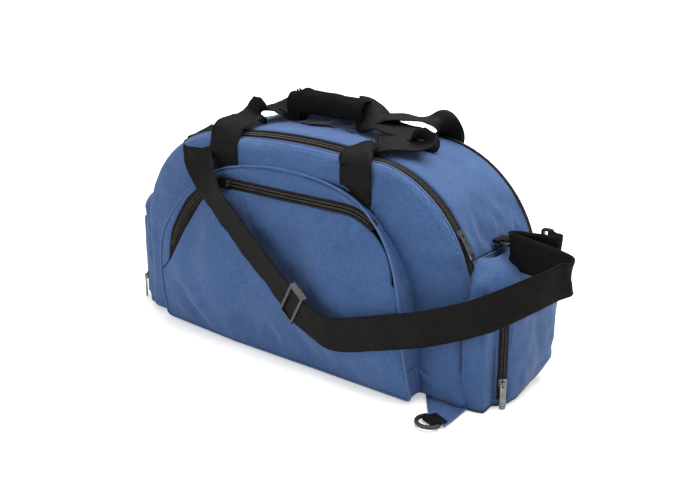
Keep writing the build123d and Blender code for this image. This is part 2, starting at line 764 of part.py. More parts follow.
for side, tab_place, leg, ring_place, hook_place, eye_place in (
    ("left", left_tab_place, 6.5, left_ring_place, left_hook_place, left_eye_place),
    ("right", right_ring_place, 13, right_ring_place, right_hook_place, right_hook_place),
):
    with BuildPart() as end_tab:
        add(tab_loop(tab_place, leg))
    end_tab.part.label = f"{side}_end_tab"
    export_step(end_tab.part, f"parts/{side}_end_tab.step")

    with BuildPart() as end_ring:
        add(d_ring(ring_place))
    end_ring.part.label = f"{side}_end_ring"
    export_step(end_ring.part, f"parts/{side}_end_ring.step")

    with BuildPart() as strap_hook:
        add(snap_hook(hook_place, eye_place))
    strap_hook.part.label = f"{side}_hook"
    export_step(strap_hook.part, f"parts/{side}_hook.step")

    with BuildPart() as strap_hook_gate:
        add(hook_gate(hook_place))
    strap_hook_gate.part.label = f"{side}_hook_gate"
    export_step(strap_hook_gate.part, f"parts/{side}_hook_gate.step")

# ---------------------------------------------------------------- corner ring

CORNER_BAR = Vector(241, -133, LOOP_R + WEB_T + GAP)
CORNER_WAY = Vector(0.93, -0.37, 0).normalized()
CORNER_LEG = 12
FLAP_Z = CORNER_BAR.Z - WEB_T
FLAP_Y = -(HALF_DEPTH + CORNER_LEG)

corner_place = Plane(origin=CORNER_BAR, x_dir=CORNER_WAY, z_dir=(0, 0, 1))

with BuildPart() as front_corner_tab:
    edge = CORNER_BAR + corner_place.y_dir * (CORNER_LEG - 4)
    half = CORNER_WAY * (LOOP_SPAN / 2 + 4)
    near = edge - half
    far = edge + half
    with BuildSketch(Plane.XY.offset(FLAP_Z)):
        with BuildLine():
            Polyline(
                (near.X, near.Y),
                (far.X, far.Y),
                (HALF_LENGTH + 6, FLAP_Y),
                (POCKET_HALF_BASE + 2, FLAP_Y),
                (POCKET_HALF_BASE + 2, FLAP_Y - 26),
                close=True,
            )
        make_face()
    extrude(amount=-WEB_T)
front_corner_tab.part.label = "front_corner_tab"
export_step(front_corner_tab.part, "parts/front_corner_tab.step")

with BuildPart() as front_corner_loop:
    add(tab_loop(corner_place, CORNER_LEG))
front_corner_loop.part.label = "front_corner_loop"
export_step(front_corner_loop.part, "parts/front_corner_loop.step")

with BuildPart() as front_corner_ring:
    add(d_ring(corner_place))
front_corner_ring.part.label = "front_corner_ring"
export_step(front_corner_ring.part, "parts/front_corner_ring.step")

# ------------------------------------------------------------- shoulder strap

RUN_TOP = Vector(-45, -120, 158)
RUN_END = Vector(63, -132, 80.4)
RUN_TURN = radians(12)
RUN_WAY = (RUN_END - RUN_TOP).normalized()
RUN_FLAT = RUN_WAY.cross(Vector(0, 1, 0)).normalized()
RUN_WIDE = RUN_FLAT * cos(RUN_TURN) + RUN_WAY.cross(RUN_FLAT) * sin(RUN_TURN)
ADJUSTER_BACK = 15
UPRIGHT = Vector(0, 0, 1)
EYE_BAR_X = EYE_X + EYE_IN + EYE_BAR / 2
STRAP_LEG = 8

left_eye = left_hook_at + left_way * EYE_BAR_X
right_eye = right_hook_at + Vector(EYE_BAR_X, 0, 0)
left_eye_loop = Plane(origin=left_eye, x_dir=(0, 1, 0), z_dir=Vector(0, 1, 0).cross(left_way))
right_eye_loop = Plane(origin=right_eye, x_dir=(0, 0, 1), z_dir=(0, 1, 0))

upper_run = Edge.make_spline(
    [
        left_eye + left_way * STRAP_LEG,
        Vector(-190, -30, 236),
        Vector(-160, -66, 251),
        Vector(-124, -99, 221),
        RUN_TOP,
    ],
    tangents=[left_way, RUN_WAY],
)
straight_run = Edge.make_line(RUN_TOP, RUN_END)
lower_run = Edge.make_spline(
    [
        RUN_END,
        Vector(112, -130, 67),
        Vector(164, -126, 81),
        Vector(223, -112, 97),
        Vector(275, -92, 118),
        Vector(312, -64, 140),
        Vector(331, -32, 154),
        Vector(324, -6, 165),
        right_eye + Vector(STRAP_LEG, 0, 0),
    ],
    tangents=[RUN_WAY, Vector(-1, 0, 0)],
)
over_edge = (Vector(0, 1, 0), Vector(0.35, 0.85, 0.4), Vector(0.5, 0.5, 0.7), RUN_WIDE, RUN_WIDE)
along_front = (RUN_WIDE, UPRIGHT, UPRIGHT, UPRIGHT, UPRIGHT)

with BuildPart() as shoulder_strap:
    add(webbing(upper_run, over_edge, count=24))
    add(webbing(straight_run, (RUN_WIDE, RUN_WIDE), count=1))
    add(webbing(lower_run, along_front, count=32))
    add(tab_loop(left_eye_loop, STRAP_LEG, WEB_W))
    add(tab_loop(right_eye_loop, STRAP_LEG, WEB_W))
shoulder_strap.part.label = "shoulder_strap"
export_step(shoulder_strap.part, "parts/shoulder_strap.step")

ADJUSTER_W = WEB_W + 9
ADJUSTER_L = 24
RAIL_W = 3.3
BAR_LOW = WEB_T / 2 + 0.4
BAR_T = 2
adjuster_place = Plane(
    origin=RUN_END - RUN_WAY * ADJUSTER_BACK, x_dir=RUN_WAY, z_dir=RUN_WAY.cross(RUN_WIDE)
)

with BuildPart() as strap_adjuster:
    with BuildSketch(adjuster_place.offset(-BAR_LOW - BAR_T)):
        with Locations((0, (ADJUSTER_W - RAIL_W) / 2), (0, -(ADJUSTER_W - RAIL_W) / 2)):
            Rectangle(ADJUSTER_L, RAIL_W)
    extrude(amount=2 * (BAR_LOW + BAR_T))
    with BuildSketch(adjuster_place.offset(BAR_LOW)):
        RectangleRounded(ADJUSTER_L, ADJUSTER_W, 2)
        Rectangle(ADJUSTER_L - 2 * RAIL_W, ADJUSTER_W - 2 * RAIL_W, mode=Mode.SUBTRACT)
    extrude(amount=BAR_T)
    with BuildSketch(adjuster_place.offset(-BAR_LOW - BAR_T)):
        Rectangle(RAIL_W, ADJUSTER_W - RAIL_W)
    extrude(amount=BAR_T)
strap_adjuster.part.label = "strap_adjuster"
export_step(strap_adjuster.part, "parts/strap_adjuster.step")
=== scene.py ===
"""Looks of the duffel bag: cloth, stitching, webbing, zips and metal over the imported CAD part."""

import math

import bpy
import numpy as np
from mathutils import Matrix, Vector, noise


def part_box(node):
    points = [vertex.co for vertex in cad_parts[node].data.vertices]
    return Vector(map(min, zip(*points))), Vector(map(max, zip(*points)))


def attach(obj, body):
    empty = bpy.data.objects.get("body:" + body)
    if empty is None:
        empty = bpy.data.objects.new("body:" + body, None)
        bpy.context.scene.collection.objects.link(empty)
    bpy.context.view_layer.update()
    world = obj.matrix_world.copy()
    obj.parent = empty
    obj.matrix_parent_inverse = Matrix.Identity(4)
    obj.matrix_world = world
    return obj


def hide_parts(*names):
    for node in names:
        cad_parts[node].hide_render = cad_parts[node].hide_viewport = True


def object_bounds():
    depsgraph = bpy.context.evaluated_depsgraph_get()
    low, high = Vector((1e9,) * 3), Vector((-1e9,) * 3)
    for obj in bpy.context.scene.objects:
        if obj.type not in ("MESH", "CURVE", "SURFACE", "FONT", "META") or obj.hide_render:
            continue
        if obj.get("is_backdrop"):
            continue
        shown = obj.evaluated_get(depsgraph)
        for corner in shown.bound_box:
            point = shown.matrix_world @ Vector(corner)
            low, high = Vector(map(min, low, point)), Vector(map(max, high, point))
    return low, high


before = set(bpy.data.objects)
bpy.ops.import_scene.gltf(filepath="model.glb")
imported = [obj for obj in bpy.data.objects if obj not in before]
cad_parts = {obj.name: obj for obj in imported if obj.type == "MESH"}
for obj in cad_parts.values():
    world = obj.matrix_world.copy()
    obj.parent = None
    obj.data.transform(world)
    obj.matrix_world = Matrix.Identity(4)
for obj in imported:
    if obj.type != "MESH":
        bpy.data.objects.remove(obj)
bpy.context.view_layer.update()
scene = bpy.context.scene
MM = 0.001
UPRIGHT = (0, 0, 1)
LEVEL = (1, 0, 0)


def low_high(node):
    """Corners of a CAD node's box in millimetres."""
    low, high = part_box(node)
    return np.array(low) / MM, np.array(high) / MM


FRONT_LOW, FRONT_HIGH = low_high("front_panel")
REAR_LOW, REAR_HIGH = low_high("rear_panel")
HALF = FRONT_HIGH[0]
TOP = FRONT_HIGH[2]
SEAM_Y = FRONT_HIGH[1]
FRONT_Y = FRONT_LOW[1]
REAR_SEAM_Y = REAR_LOW[1]
REAR_Y = REAR_HIGH[1]
GUSSET_Y, SEAM_Z = low_high("top_gusset")[0][1:]
ZIP_Y = (SEAM_Y + GUSSET_Y) / 2
SHOULDER_Z = 110
SHOULDER_R = 142
BASE_R = 10
SIDE_X = HALF - SHOULDER_R
CROWN_R = (SIDE_X**2 + (TOP - SHOULDER_Z) ** 2 - SHOULDER_R**2) / (2 * (TOP - SHOULDER_Z - SHOULDER_R))
MEET = math.degrees(math.atan2(SHOULDER_Z - TOP + CROWN_R, SIDE_X))

# ---- materials


def node_tree(name):
    mat = bpy.data.materials.new(name)
    mat.use_nodes = True
    return mat, mat.node_tree, mat.node_tree.nodes["Principled BSDF"]


def set_inputs(node, **values):
    """Sets inputs by name, written with _ for each space."""
    for name, value in values.items():
        node.inputs[name.replace("_", " ")].default_value = value


def add_node(tree, kind, **values):
    node = tree.nodes.new(f"ShaderNode{kind}")
    set_inputs(node, **values)
    return node


def math_node(tree, op, *values):
    node = add_node(tree, "Math")
    node.operation = op
    for socket, value in zip(node.inputs, values):
        if isinstance(value, (int, float)):
            socket.default_value = value
        else:
            tree.links.new(value, socket)
    return node.outputs[0]


def mix_colour(tree, factor, a, b):
    node = add_node(tree, "Mix")
    node.data_type = "RGBA"
    tree.links.new(factor, node.inputs[0])
    for socket, value in ((node.inputs[6], a), (node.inputs[7], b)):
        if isinstance(value, (tuple, list)):
            socket.default_value = (*value[:3], 1)
        else:
            tree.links.new(value, socket)
    return node.outputs[2]


def noise_node(tree, vector, scale, detail=3, low=0.35, high=0.65):
    node = add_node(tree, "TexNoise", Scale=scale, Detail=detail)
    tree.links.new(vector, node.inputs["Vector"])
    ramp = add_node(tree, "MapRange", From_Min=low, From_Max=high)
    tree.links.new(node.outputs["Fac"], ramp.inputs["Value"])
    return ramp.outputs[0]


def bump_node(tree, height, strength, distance):
    node = add_node(tree, "Bump", Strength=strength, Distance=distance)
    tree.links.new(height, node.inputs["Height"])
    return node


def woven(name, base, light, pitch, twill=False, rough=0.8, sheen=0.25, depth=0.25, worn=0.12, shine=0.22):
    """Woven cloth: crossing yarns in UV space, thread-to-thread variation and soft wear."""
    mat, tree, shader = node_tree(name)
    join = tree.links.new

    def times(a, b):
        return math_node(tree, "MULTIPLY", a, b)

    def plus(a, b):
        return math_node(tree, "ADD", a, b)

    coord = add_node(tree, "TexCoord")
    place = coord.outputs["Object"]
    split = add_node(tree, "SeparateXYZ")
    join(coord.outputs["UV"], split.inputs[0])
    step = 2 * math.pi / (pitch * MM)
    u = times(split.outputs[0], step)
    v = times(split.outputs[1], step)
    if twill:
        rib = math_node(tree, "SINE", plus(u, v))
        thread = math_node(tree, "SINE", times(v, 2.0))
        weave = plus(times(rib, 0.7), times(thread, 0.3))
    else:
        weave = times(math_node(tree, "SINE", u), math_node(tree, "SINE", v))
    height = math_node(tree, "MULTIPLY_ADD", weave, 0.5, 0.5)
    streak = noise_node(tree, place, 260, 2)
    cloud = noise_node(tree, place, 9, 4, 0.3, 0.7)
    tone = plus(plus(times(height, 0.5), times(streak, 0.3)), times(cloud, 0.25))
    rub = times(noise_node(tree, place, 38, 5, 0.58, 0.8), worn)
    worn_light = [min(1, c * 1.8 + 0.02) for c in light]
    colour = mix_colour(tree, rub, mix_colour(tree, tone, base, light), worn_light)
    join(colour, shader.inputs["Base Color"])
    join(math_node(tree, "SUBTRACT", rough, times(height, 0.12)), shader.inputs["Roughness"])
    set_inputs(shader, Specular_IOR_Level=shine, Sheen_Weight=sheen, Sheen_Roughness=0.5)
    yarns = bump_node(tree, height, depth, 0.0006)
    dents = bump_node(tree, noise_node(tree, place, 45, 3, 0.2, 0.8), 0.16, 0.004)
    join(dents.outputs[0], yarns.inputs["Normal"])
    join(yarns.outputs[0], shader.inputs["Normal"])
    return mat


def hard(name, base, light, rough, metallic=0.0, grain=140, coat=0.0):
    """Metal or moulded plastic with fine grain and handling marks."""
    mat, tree, shader = node_tree(name)
    place = add_node(tree, "TexCoord").outputs["Object"]
    fine = noise_node(tree, place, grain, 4, 0.3, 0.7)
    marks = noise_node(tree, place, grain * 5, 2, 0.45, 0.75)
    tree.links.new(mix_colour(tree, fine, base, light), shader.inputs["Base Color"])
    dull = math_node(tree, "ADD", math_node(tree, "MULTIPLY", marks, 0.14), rough)
    tree.links.new(dull, shader.inputs["Roughness"])
    set_inputs(shader, Metallic=metallic, Coat_Weight=coat)
    scuffs = bump_node(tree, marks, 0.12, 0.0003)
    tree.links.new(scuffs.outputs[0], shader.inputs["Normal"])
    return mat


BLUE = woven(
    "blue_twill", (0.020, 0.056, 0.155), (0.055, 0.118, 0.275), 3.2,
    twill=True, sheen=0.15, depth=0.35,
)
# Lighter copy of the blue twill for the piping and edge cords: a painted highlight where the rounded edges
# catch the top light.
BLUE_EDGE_PAINTED_HIGHLIGHT = woven(
    "blue_edge_painted_highlight", (0.034, 0.080, 0.20), (0.075, 0.148, 0.32), 1.6,
    twill=True, sheen=0.2, depth=0.3,
)
NAVY = woven("navy_lining", (0.010, 0.016, 0.055), (0.022, 0.034, 0.10), 0.9)
BASE_CLOTH = woven("black_base", (0.010, 0.010, 0.011), (0.030, 0.030, 0.032), 1.8, rough=0.7)
WEB = woven(
    "black_webbing", (0.0022, 0.0022, 0.0024), (0.0095, 0.009, 0.0085), 3.0,
    twill=True, rough=0.7, sheen=0.0, depth=0.5, worn=0.03, shine=0.1,
)
GRIP = woven(
    "black_grip", (0.0018, 0.0018, 0.002), (0.006, 0.006, 0.0065), 1.2,
    rough=0.9, sheen=0.0, worn=0.03, shine=0.08,
)
TAPE = woven(
    "zip_tape", (0.007, 0.006, 0.005), (0.024, 0.020, 0.016), 0.9,
    twill=True, rough=0.8, sheen=0.0, worn=0.05, shine=0.15,
)
THREAD = woven("thread", (0.030, 0.070, 0.18), (0.06, 0.12, 0.27), 0.6, twill=True)
DARK_THREAD = woven("dark_thread", (0.004, 0.004, 0.0042), (0.012, 0.012, 0.012), 0.6, twill=True, sheen=0.0)
COIL = hard("zip_coil", (0.020, 0.016, 0.013), (0.050, 0.042, 0.034), 0.42)
GUNMETAL = hard("gunmetal", (0.16, 0.16, 0.165), (0.30, 0.30, 0.31), 0.28, metallic=1.0)
ENAMEL = hard("black_enamel", (0.008, 0.008, 0.009), (0.022, 0.022, 0.024), 0.3, metallic=0.5, coat=0.2)
BLACK_PLASTIC = hard("black_plastic", (0.012, 0.012, 0.013), (0.028, 0.028, 0.030), 0.38, coat=0.15)
FOAM = hard("foam", (0.30, 0.30, 0.29), (0.42, 0.42, 0.40), 0.9, grain=400)
BOARD = hard("board", (0.02, 0.02, 0.02), (0.05, 0.05, 0.05), 0.6)

# ---- curve helpers


def xyz(x, y, z):
    """Points from three coordinates, each an array or one value for all."""
    return np.stack(np.broadcast_arrays(x, y, z), -1)


def unit(v):
    v = np.asarray(v, float)
    return v / np.maximum(np.linalg.norm(v, axis=-1, keepdims=True), 1e-9)


def steps(points, loop=False):
    """From each point's neighbour before it to the one after it."""
    if loop:
        return np.roll(points, -1, 0) - np.roll(points, 1, 0)
    return np.gradient(points, axis=0)


def outward(line, loop=False):
    """Unit normals of a flat line, to the right of its direction."""
    way = unit(steps(line, loop))
    return np.stack([way[:, 1], -way[:, 0]], 1)


def lengths(points):
    return np.concatenate([[0], np.cumsum(np.linalg.norm(np.diff(points, axis=0), axis=1))])


def sample(points, along, where):
    """Points read off at places along a line."""
    return np.stack([np.interp(where, along, column) for column in points.T], -1)


def resample(points, count, closed=False):
    """Points at even steps of arc length."""
    pts = np.asarray(points, float)
    if closed:
        pts = np.vstack([pts, pts[:1]])
    along = lengths(pts)
    out = sample(pts, along, np.linspace(0, along[-1], count + closed))
    return out[:-1] if closed else out


def arc(cx, cy, radius, start, end, count=40):
    angles = np.radians(np.linspace(start, end, count))
    return np.stack([cx + radius * np.cos(angles), cy + radius * np.sin(angles)], 1)


def arc3(a, b, c, count):
    """Circular arc through three points."""
    a, b, c = (np.asarray(p, float) for p in (a, b, c))
    sides = np.array([b - a, c - b])
    centre = np.linalg.solve(sides, np.array([(b @ b - a @ a) / 2, (c @ c - b @ b) / 2]))
    angles = np.unwrap([math.atan2(*(p - centre)[::-1]) for p in (a, b, c)])
    turn = np.linspace(angles[0], angles[2], count)
    return centre + np.linalg.norm(a - centre) * np.stack([np.cos(turn), np.sin(turn)], 1)


def smooth_path(knots, count):
    """Catmull-Rom curve through the knots, at even steps."""
    pts = np.asarray(knots, float)
    pts = np.vstack([2 * pts[0] - pts[1], pts, 2 * pts[-1] - pts[-2]])
    out = []
    for a, b, c, d in zip(pts, pts[1:], pts[2:], pts[3:]):
        for t in np.linspace(0, 1, 24, endpoint=False):
            m0, m1 = (c - a) / 2, (d - b) / 2
            out.append(
                (2 * t**3 - 3 * t**2 + 1) * b + (t**3 - 2 * t**2 + t) * m0
                + (-2 * t**3 + 3 * t**2) * c + (t**3 - t**2) * m1
            )
    return resample(out + [pts[-2]], count)


def both_halves(half):
    """A right half line, from bottom to top, joined to its mirror image."""
    return np.vstack([half, half[::-1][1:] * (-1, 1)])


def relax(ring, times):
    """Rounds a closed line off."""
    for _ in range(times):
        ring = ring / 2 + (np.roll(ring, 1, 0) + np.roll(ring, -1, 0)) / 4
    return ring


def ease(value):
    """Soft step from 0 to 1."""
    share = np.clip(value, 0, 1)
    return share**2 * (3 - 2 * share)


def dome(outset=0.0):
    """Right half of the body's outline, from the middle of the base to the crown, in x and z."""
    return np.vstack([
        [(0, -outset)],
        arc(HALF - BASE_R, BASE_R, BASE_R + outset, -90, 0, 14),
        arc(SIDE_X, SHOULDER_Z, SHOULDER_R + outset, 0, MEET, 60),
        arc(0, TOP - CROWN_R, CROWN_R + outset, MEET, 90, 20),
    ])


def arch(z_low, count, outset=0.0):
    """The outline above a height, from the right over the crown to the left."""
    half = resample(dome(outset), 1200)
    return resample(both_halves(half[half[:, 1] >= z_low]), count)


def grid_normals(grid, loop=False):
    return unit(np.cross(steps(grid, loop), np.gradient(grid, axis=1)))


def line_at(line, y, outset=0.0):
    """An (x, z) line at one depth."""
    flat = line + outward(line) * outset
    return xyz(flat[:, 0], y, flat[:, 1])


def band_grid(line, y_from, y_to, cols, outset=0.0):
    """Strip over an (x, z) line, from one depth to another."""
    return np.stack([line_at(line, y, outset) for y in np.linspace(y_from, y_to, cols)], 1)


# ---- mesh helpers


def new_object(name, verts, faces, uvs, mats, face_mats=None):
    mesh = bpy.data.meshes.new(name)
    mesh.from_pydata([tuple(v) for v in np.asarray(verts) * MM], [], faces)
    layer = mesh.uv_layers.new(name="UVMap")
    flat = np.array([uvs[i] for face in faces for i in face], float) * MM
    layer.data.foreach_set("uv", flat.ravel())
    for mat in mats:
        mesh.materials.append(mat)
    if face_mats is not None:
        mesh.polygons.foreach_set("material_index", face_mats)
    mesh.polygons.foreach_set("use_smooth", [True] * len(faces))
    mesh.update()
    obj = bpy.data.objects.new(name, mesh)
    scene.collection.objects.link(obj)
    return obj


class Parts:
    """Collects surfaces into one mesh with one material index each."""

    def __init__(self):
        self.verts, self.faces, self.uvs, self.mats, self.index = [], [], [], [], []

    def add(self, verts, faces, uvs, mat):
        if mat not in self.mats:
            self.mats.append(mat)
        base = len(self.verts)
        self.verts.extend(map(tuple, verts))
        self.uvs.extend(map(tuple, uvs))
        self.faces.extend(tuple(base + i for i in f) for f in faces)
        self.index.extend([self.mats.index(mat)] * len(faces))
        return self

    def object(self, name, node, slot="body_cloth"):
        """Makes the mesh, which stands for a CAD node that is part of the bag's body."""
        obj = new_object(name, self.verts, self.faces, self.uvs, self.mats, self.index)
        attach(obj, "bag")
        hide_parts(node)


def quads(nu, nv, loop=False, flip=False, base=0):
    out = []
    for i in range(nu if loop else nu - 1):
        k = (i + 1) % nu
        for j in range(nv - 1):
            q = (base + i * nv + j, base + k * nv + j, base + k * nv + j + 1, base + i * nv + j + 1)
            out.append(q[::-1] if flip else q)
    return out


def shell(parts, grid, mat, thick=1.4, loop=False, flip=False, uv=None):
    """Cloth of some thickness whose outer face is the grid."""
    nu, nv = grid.shape[:2]
    n = nu * nv
    inner = grid - grid_normals(grid, loop) * (-thick if flip else thick)
    if uv is None:
        uv = np.stack(np.meshgrid(lengths(grid[:, nv // 2]), lengths(grid[nu // 2]), indexing="ij"), -1)
    faces = quads(nu, nv, loop, flip) + quads(nu, nv, loop, not flip, base=n)
    rims = []
    for i in range(nu if loop else nu - 1):
        k = (i + 1) % nu
        rims += [(i * nv, k * nv), (k * nv + nv - 1, i * nv + nv - 1)]
    for j in range(0 if loop else nv - 1):
        rims += [(j + 1, j), (n - nv + j, n - nv + j + 1)]
    for a, b in rims:
        q = (a, a + n, b + n, b)
        faces.append(q[::-1] if flip else q)
    verts = np.concatenate([grid.reshape(-1, 3), inner.reshape(-1, 3)])
    return parts.add(verts, faces, np.concatenate([uv.reshape(-1, 2)] * 2), mat)


def tube(parts, path, radius, mat, sides=6, closed=False):
    path = np.asarray(path, float)
    n = len(path)
    way = unit(steps(path, closed))
    side = unit(np.cross(way, (0.13, 0.21, 0.97)))
    up = np.cross(side, way)
    turn = np.linspace(0, 2 * math.pi, sides, endpoint=False)[None, :, None]
    ring = path[:, None] + radius * (side[:, None] * np.cos(turn) + up[:, None] * np.sin(turn))
    along = lengths(path)
    uvs = [(along[i], j / sides * 2 * math.pi * radius) for i in range(n) for j in range(sides)]
    faces = []
    for i in range(n if closed else n - 1):
        k = (i + 1) % n
        for j in range(sides):
            m = (j + 1) % sides
            faces.append((i * sides + j, k * sides + j, k * sides + m, i * sides + m))
    if not closed:
        faces.append(tuple(range(sides)))
        faces.append(tuple(range((n - 1) * sides, n * sides))[::-1])
    return parts.add(ring.reshape(-1, 3), faces, uvs, mat)


def stitches(parts, path, normal, mat=None, pitch=4.2, length=3.0, width=0.75, rise=0.3):
    """Row of thread dashes lying on a surface."""
    along = lengths(path)
    for k in range(int(along[-1] / pitch)):
        first, mid, last = (sample(path, along, k * pitch + s) for s in (0, length / 2, length))
        up = unit(sample(normal, along, k * pitch + length / 2))
        side = unit(np.cross(last - first, up)) * width / 2
        ridge = mid + up * rise
        verts = [
            first - up * 0.2, ridge + side, ridge + up * 0.3,
            ridge - side, last - up * 0.2, mid - up * 0.4,
        ]
        faces = [(0, 2, 1), (0, 3, 2), (4, 1, 2), (4, 2, 3), (0, 1, 5), (0, 5, 3), (4, 5, 1), (4, 3, 5)]
        parts.add(verts, faces, [(s[0], s[2]) for s in verts], mat or THREAD)
    return parts


def teeth(path, across, out, row_gap=1.7, pitch=2.0, size=(1.3, 1.9, 1.4)):
    """Coil teeth in two rows on a path, each a low rounded block."""
    parts = Parts()
    along = lengths(path)
    ways = unit(steps(path))
    for k in range(int(along[-1] / pitch)):
        for row, off in enumerate((-row_gap, row_gap)):
            s = (k + 0.5 * row) * pitch + 0.5
            way, side, up = (unit(sample(v, along, s)) for v in (ways, across, out))
            centre = sample(path, along, s) + side * off
            verts = []
            for level, shrink in ((-0.6, 1.0), (size[2] * 0.55, 1.0), (size[2], 0.55)):
                for a, b in ((-1, -1), (1, -1), (1, 1), (-1, 1)):
                    corner = way * a * size[0] / 2 * shrink + side * b * size[1] / 2 * shrink
                    verts.append(centre + corner + up * level)
            faces = [(8, 9, 10, 11), (3, 2, 1, 0)]
            for lower in (0, 4):
                for j in range(4):
                    m = (j + 1) % 4
                    faces.append((lower + j, lower + m, lower + 4 + m, lower + 4 + j))
            parts.add(verts, faces, [(v[0], v[2]) for v in verts], COIL)
    return parts


# ---- cloth simulation

CLOTH = {
    "quality": 6, "mass": 0.25, "bending_stiffness": 0.6, "use_pressure": True,
    "tension_stiffness": 25, "compression_stiffness": 20, "shear_stiffness": 8,
    "tension_damping": 15, "compression_damping": 15, "shear_damping": 15,
}
FRAMES = 16


def sewn_edges(grid, ends=0, first=1, last=0):
    """Marks the rows at both ends of a grid, and its first and last columns, as sewn down."""
    sewn = np.zeros(grid.shape[:2], bool)
    sewn[:ends] = True
    sewn[len(grid) - ends :] = True
    sewn[:, :first] = True
    sewn[:, grid.shape[1] - last :] = True
    return sewn


def settle(grid, sewn, loop=False, grow=0.015, pressure=3.0, cap=4.0, flip=False, pole=False):
    """Lets the cloth of a grid swell and buckle between its sewn edges. The movement is capped."""
    nu, nv = grid.shape[:2]
    obj = new_object("settling", grid.reshape(-1, 3), quads(nu, nv, loop, flip), np.zeros((nu * nv, 2)), [])
    group = obj.vertex_groups.new(name="sewn")
    group.add([int(i) for i in np.flatnonzero(sewn.ravel())], 1.0, "REPLACE")
    mod = obj.modifiers.new("cloth", "CLOTH")
    for name, value in dict(CLOTH, uniform_pressure_force=pressure, shrink_min=-grow).items():
        setattr(mod.settings, name, value)
    mod.settings.vertex_group_mass = "sewn"
    mod.settings.effector_weights.gravity = 0
    mod.point_cache.frame_start = 1
    mod.point_cache.frame_end = FRAMES
    for f in range(1, FRAMES + 1):
        scene.frame_set(f)
    done = obj.evaluated_get(bpy.context.evaluated_depsgraph_get()).to_mesh()
    co = np.zeros(len(done.vertices) * 3)
    done.vertices.foreach_get("co", co)
    scene.frame_set(1)
    bpy.data.objects.remove(obj)
    moved = co.reshape(nu, nv, 3) / MM - grid
    size = np.linalg.norm(moved, axis=-1, keepdims=True)
    moved = moved / np.maximum(size, 1e-9) * cap * np.tanh(size / cap)
    for _ in range(3):
        moved[:, 1:-1] = moved[:, 1:-1] / 2 + (moved[:, 2:] + moved[:, :-2]) / 4
        moved[1:-1] = moved[1:-1] / 2 + (moved[2:] + moved[:-2]) / 4
    if pole:
        share = np.clip(np.linspace(-1.2, 1.9, nv), 0, 1)[None, :, None]
        moved = moved * (1 - share) + moved.mean(0, keepdims=True) * share
    return grid + moved


def drawn_shut(grid):
    """Draws the last ring of a panel together."""
    end = grid[:, -1:]
    return np.concatenate([grid, end * 0.02 + end.mean(0) * 0.98], 1)


def crease(grid, normal, folds):
    """Soft folds, each along a line of points, with a width and a height that is negative for a valley."""
    for line, width, height in folds:
        line = resample(line, 60)
        gap = np.linalg.norm(grid.reshape(-1, 3)[:, None] - line[None], axis=-1)
        taper = np.sin(np.pi * gap.argmin(1) / 59) ** 1.3
        amount = height * taper * np.exp(-((gap.min(1) / width) ** 2.0))
        grid = grid + normal * amount.reshape(grid.shape[:2])[..., None]
    return grid


def ripple(grid, normal, height, scale, seed=0.0, weight=1.0, stretch=(1, 1, 1)):
    """Irregular soft unevenness."""
    flat = grid.reshape(-1, 3) * stretch / scale
    values = np.array([noise.fractal(Vector(p) + Vector((seed, 0, seed)), 1.0, 2.0, 3) for p in flat])
    return grid + normal * (values.reshape(grid.shape[:2]) * weight * height)[..., None]


def from_rim(grid, rings):
    """Weight that grows from nothing at a panel's rim to one, some rings in."""
    return np.clip(np.arange(grid.shape[1]) / rings, 0, 1)


# ---- body cloth

AROUND = 420
ROLL_R = 13
HEART_Z = 105
HELD_Z = 6
HEM_Z = 26
SIDES = ((1, "right"), (-1, "left"))
LEGS_X = 99
LEGS_TOP_Z = 196


def dished(side, seam_y, depth):
    """Front (-1) or rear (1) panel: rings from its seam to its middle."""
    edge = resample(both_halves(dome())[:-1], AROUND, closed=True)
    rings = []
    for inset in (0, 0.5, 1.4, 3, 5, 7.5, 10.5, 13.5, 17):
        drop = max(0.0, ROLL_R - inset)
        away = 0 if inset == 0 else (depth - ROLL_R) + math.sqrt(ROLL_R**2 - drop**2)
        xz = edge - outward(edge, True) * inset
        rings.append(xyz(xz[:, 0], seam_y + side * away, xz[:, 1]))
    last = rings[-1]
    heart = np.array((0, last[0, 1], HEART_Z))
    rings.extend(heart + (last - heart) * share for share in np.linspace(0.96, 0.02, 24))
    return np.stack(rings, 1)


def sink(points):
    """Lowers the front of the top opening, whose zip leans forward over the crown."""
    points = np.array(points, float)
    x, y, z = np.moveaxis(points, -1, 0)
    ahead = np.clip((GUSSET_Y - y) / (GUSSET_Y - SEAM_Y), 0, 1)
    points[..., 2] -= 6.5 * ahead * ease((136 - np.abs(x)) / 50) * np.clip((z - 200) / 45, 0, 1)
    return points


def spread(points):
    """Pushes the body's lower right corner out, where the weight inside rests."""
    points = np.array(points, float)
    x, y, z = np.moveaxis(points, -1, 0)
    low = np.clip(1 - z / 105, 0, 1) ** 1.5 * np.clip((x - 120) / 120, 0, 1) ** 1.5
    points[..., 0] += 11 * low * np.clip((20 - y) / 100, 0, 1)
    points[..., 1] -= 9 * low * np.clip((-y - 40) / 40, 0, 1)
    return points


def xz_uv(grid):
    return grid[..., [0, 2]]


front = sink(dished(-1, SEAM_Y, SEAM_Y - FRONT_Y))
under_legs = (np.abs(np.abs(front[..., 0]) - LEGS_X) < 27) & (front[..., 2] > LEGS_TOP_Z)
sewn = sewn_edges(front, first=2, last=front.shape[1] - 20) | (front[..., 2] < HELD_Z) | under_legs
front = settle(front, sewn, loop=True, grow=0.012, cap=3.0)
normal = grid_normals(front, True)
front = spread(ripple(front, normal, 1.6, 55, 3.0, from_rim(front, 5)))
front = crease(front, normal, (
    ([(-70, -82, 247), (-30, -83, 252), (14, -83, 253)], 4, -2.2),
    ([(-70, -82, 240), (-30, -83, 246), (14, -83, 247)], 7, 1.6),
    ([(184, -83, 160), (214, -82, 153), (242, -76, 151)], 6, -3.4),
    ([(184, -83, 174), (214, -82, 167), (242, -76, 166)], 9, 2.6),
    ([(206, -83, 138), (214, -82, 80), (211, -83, 10)], 9, -2.2),
    ([(-206, -83, 150), (-222, -82, 110), (-216, -83, 60)], 9, -2.4),
))
front = drawn_shut(front)
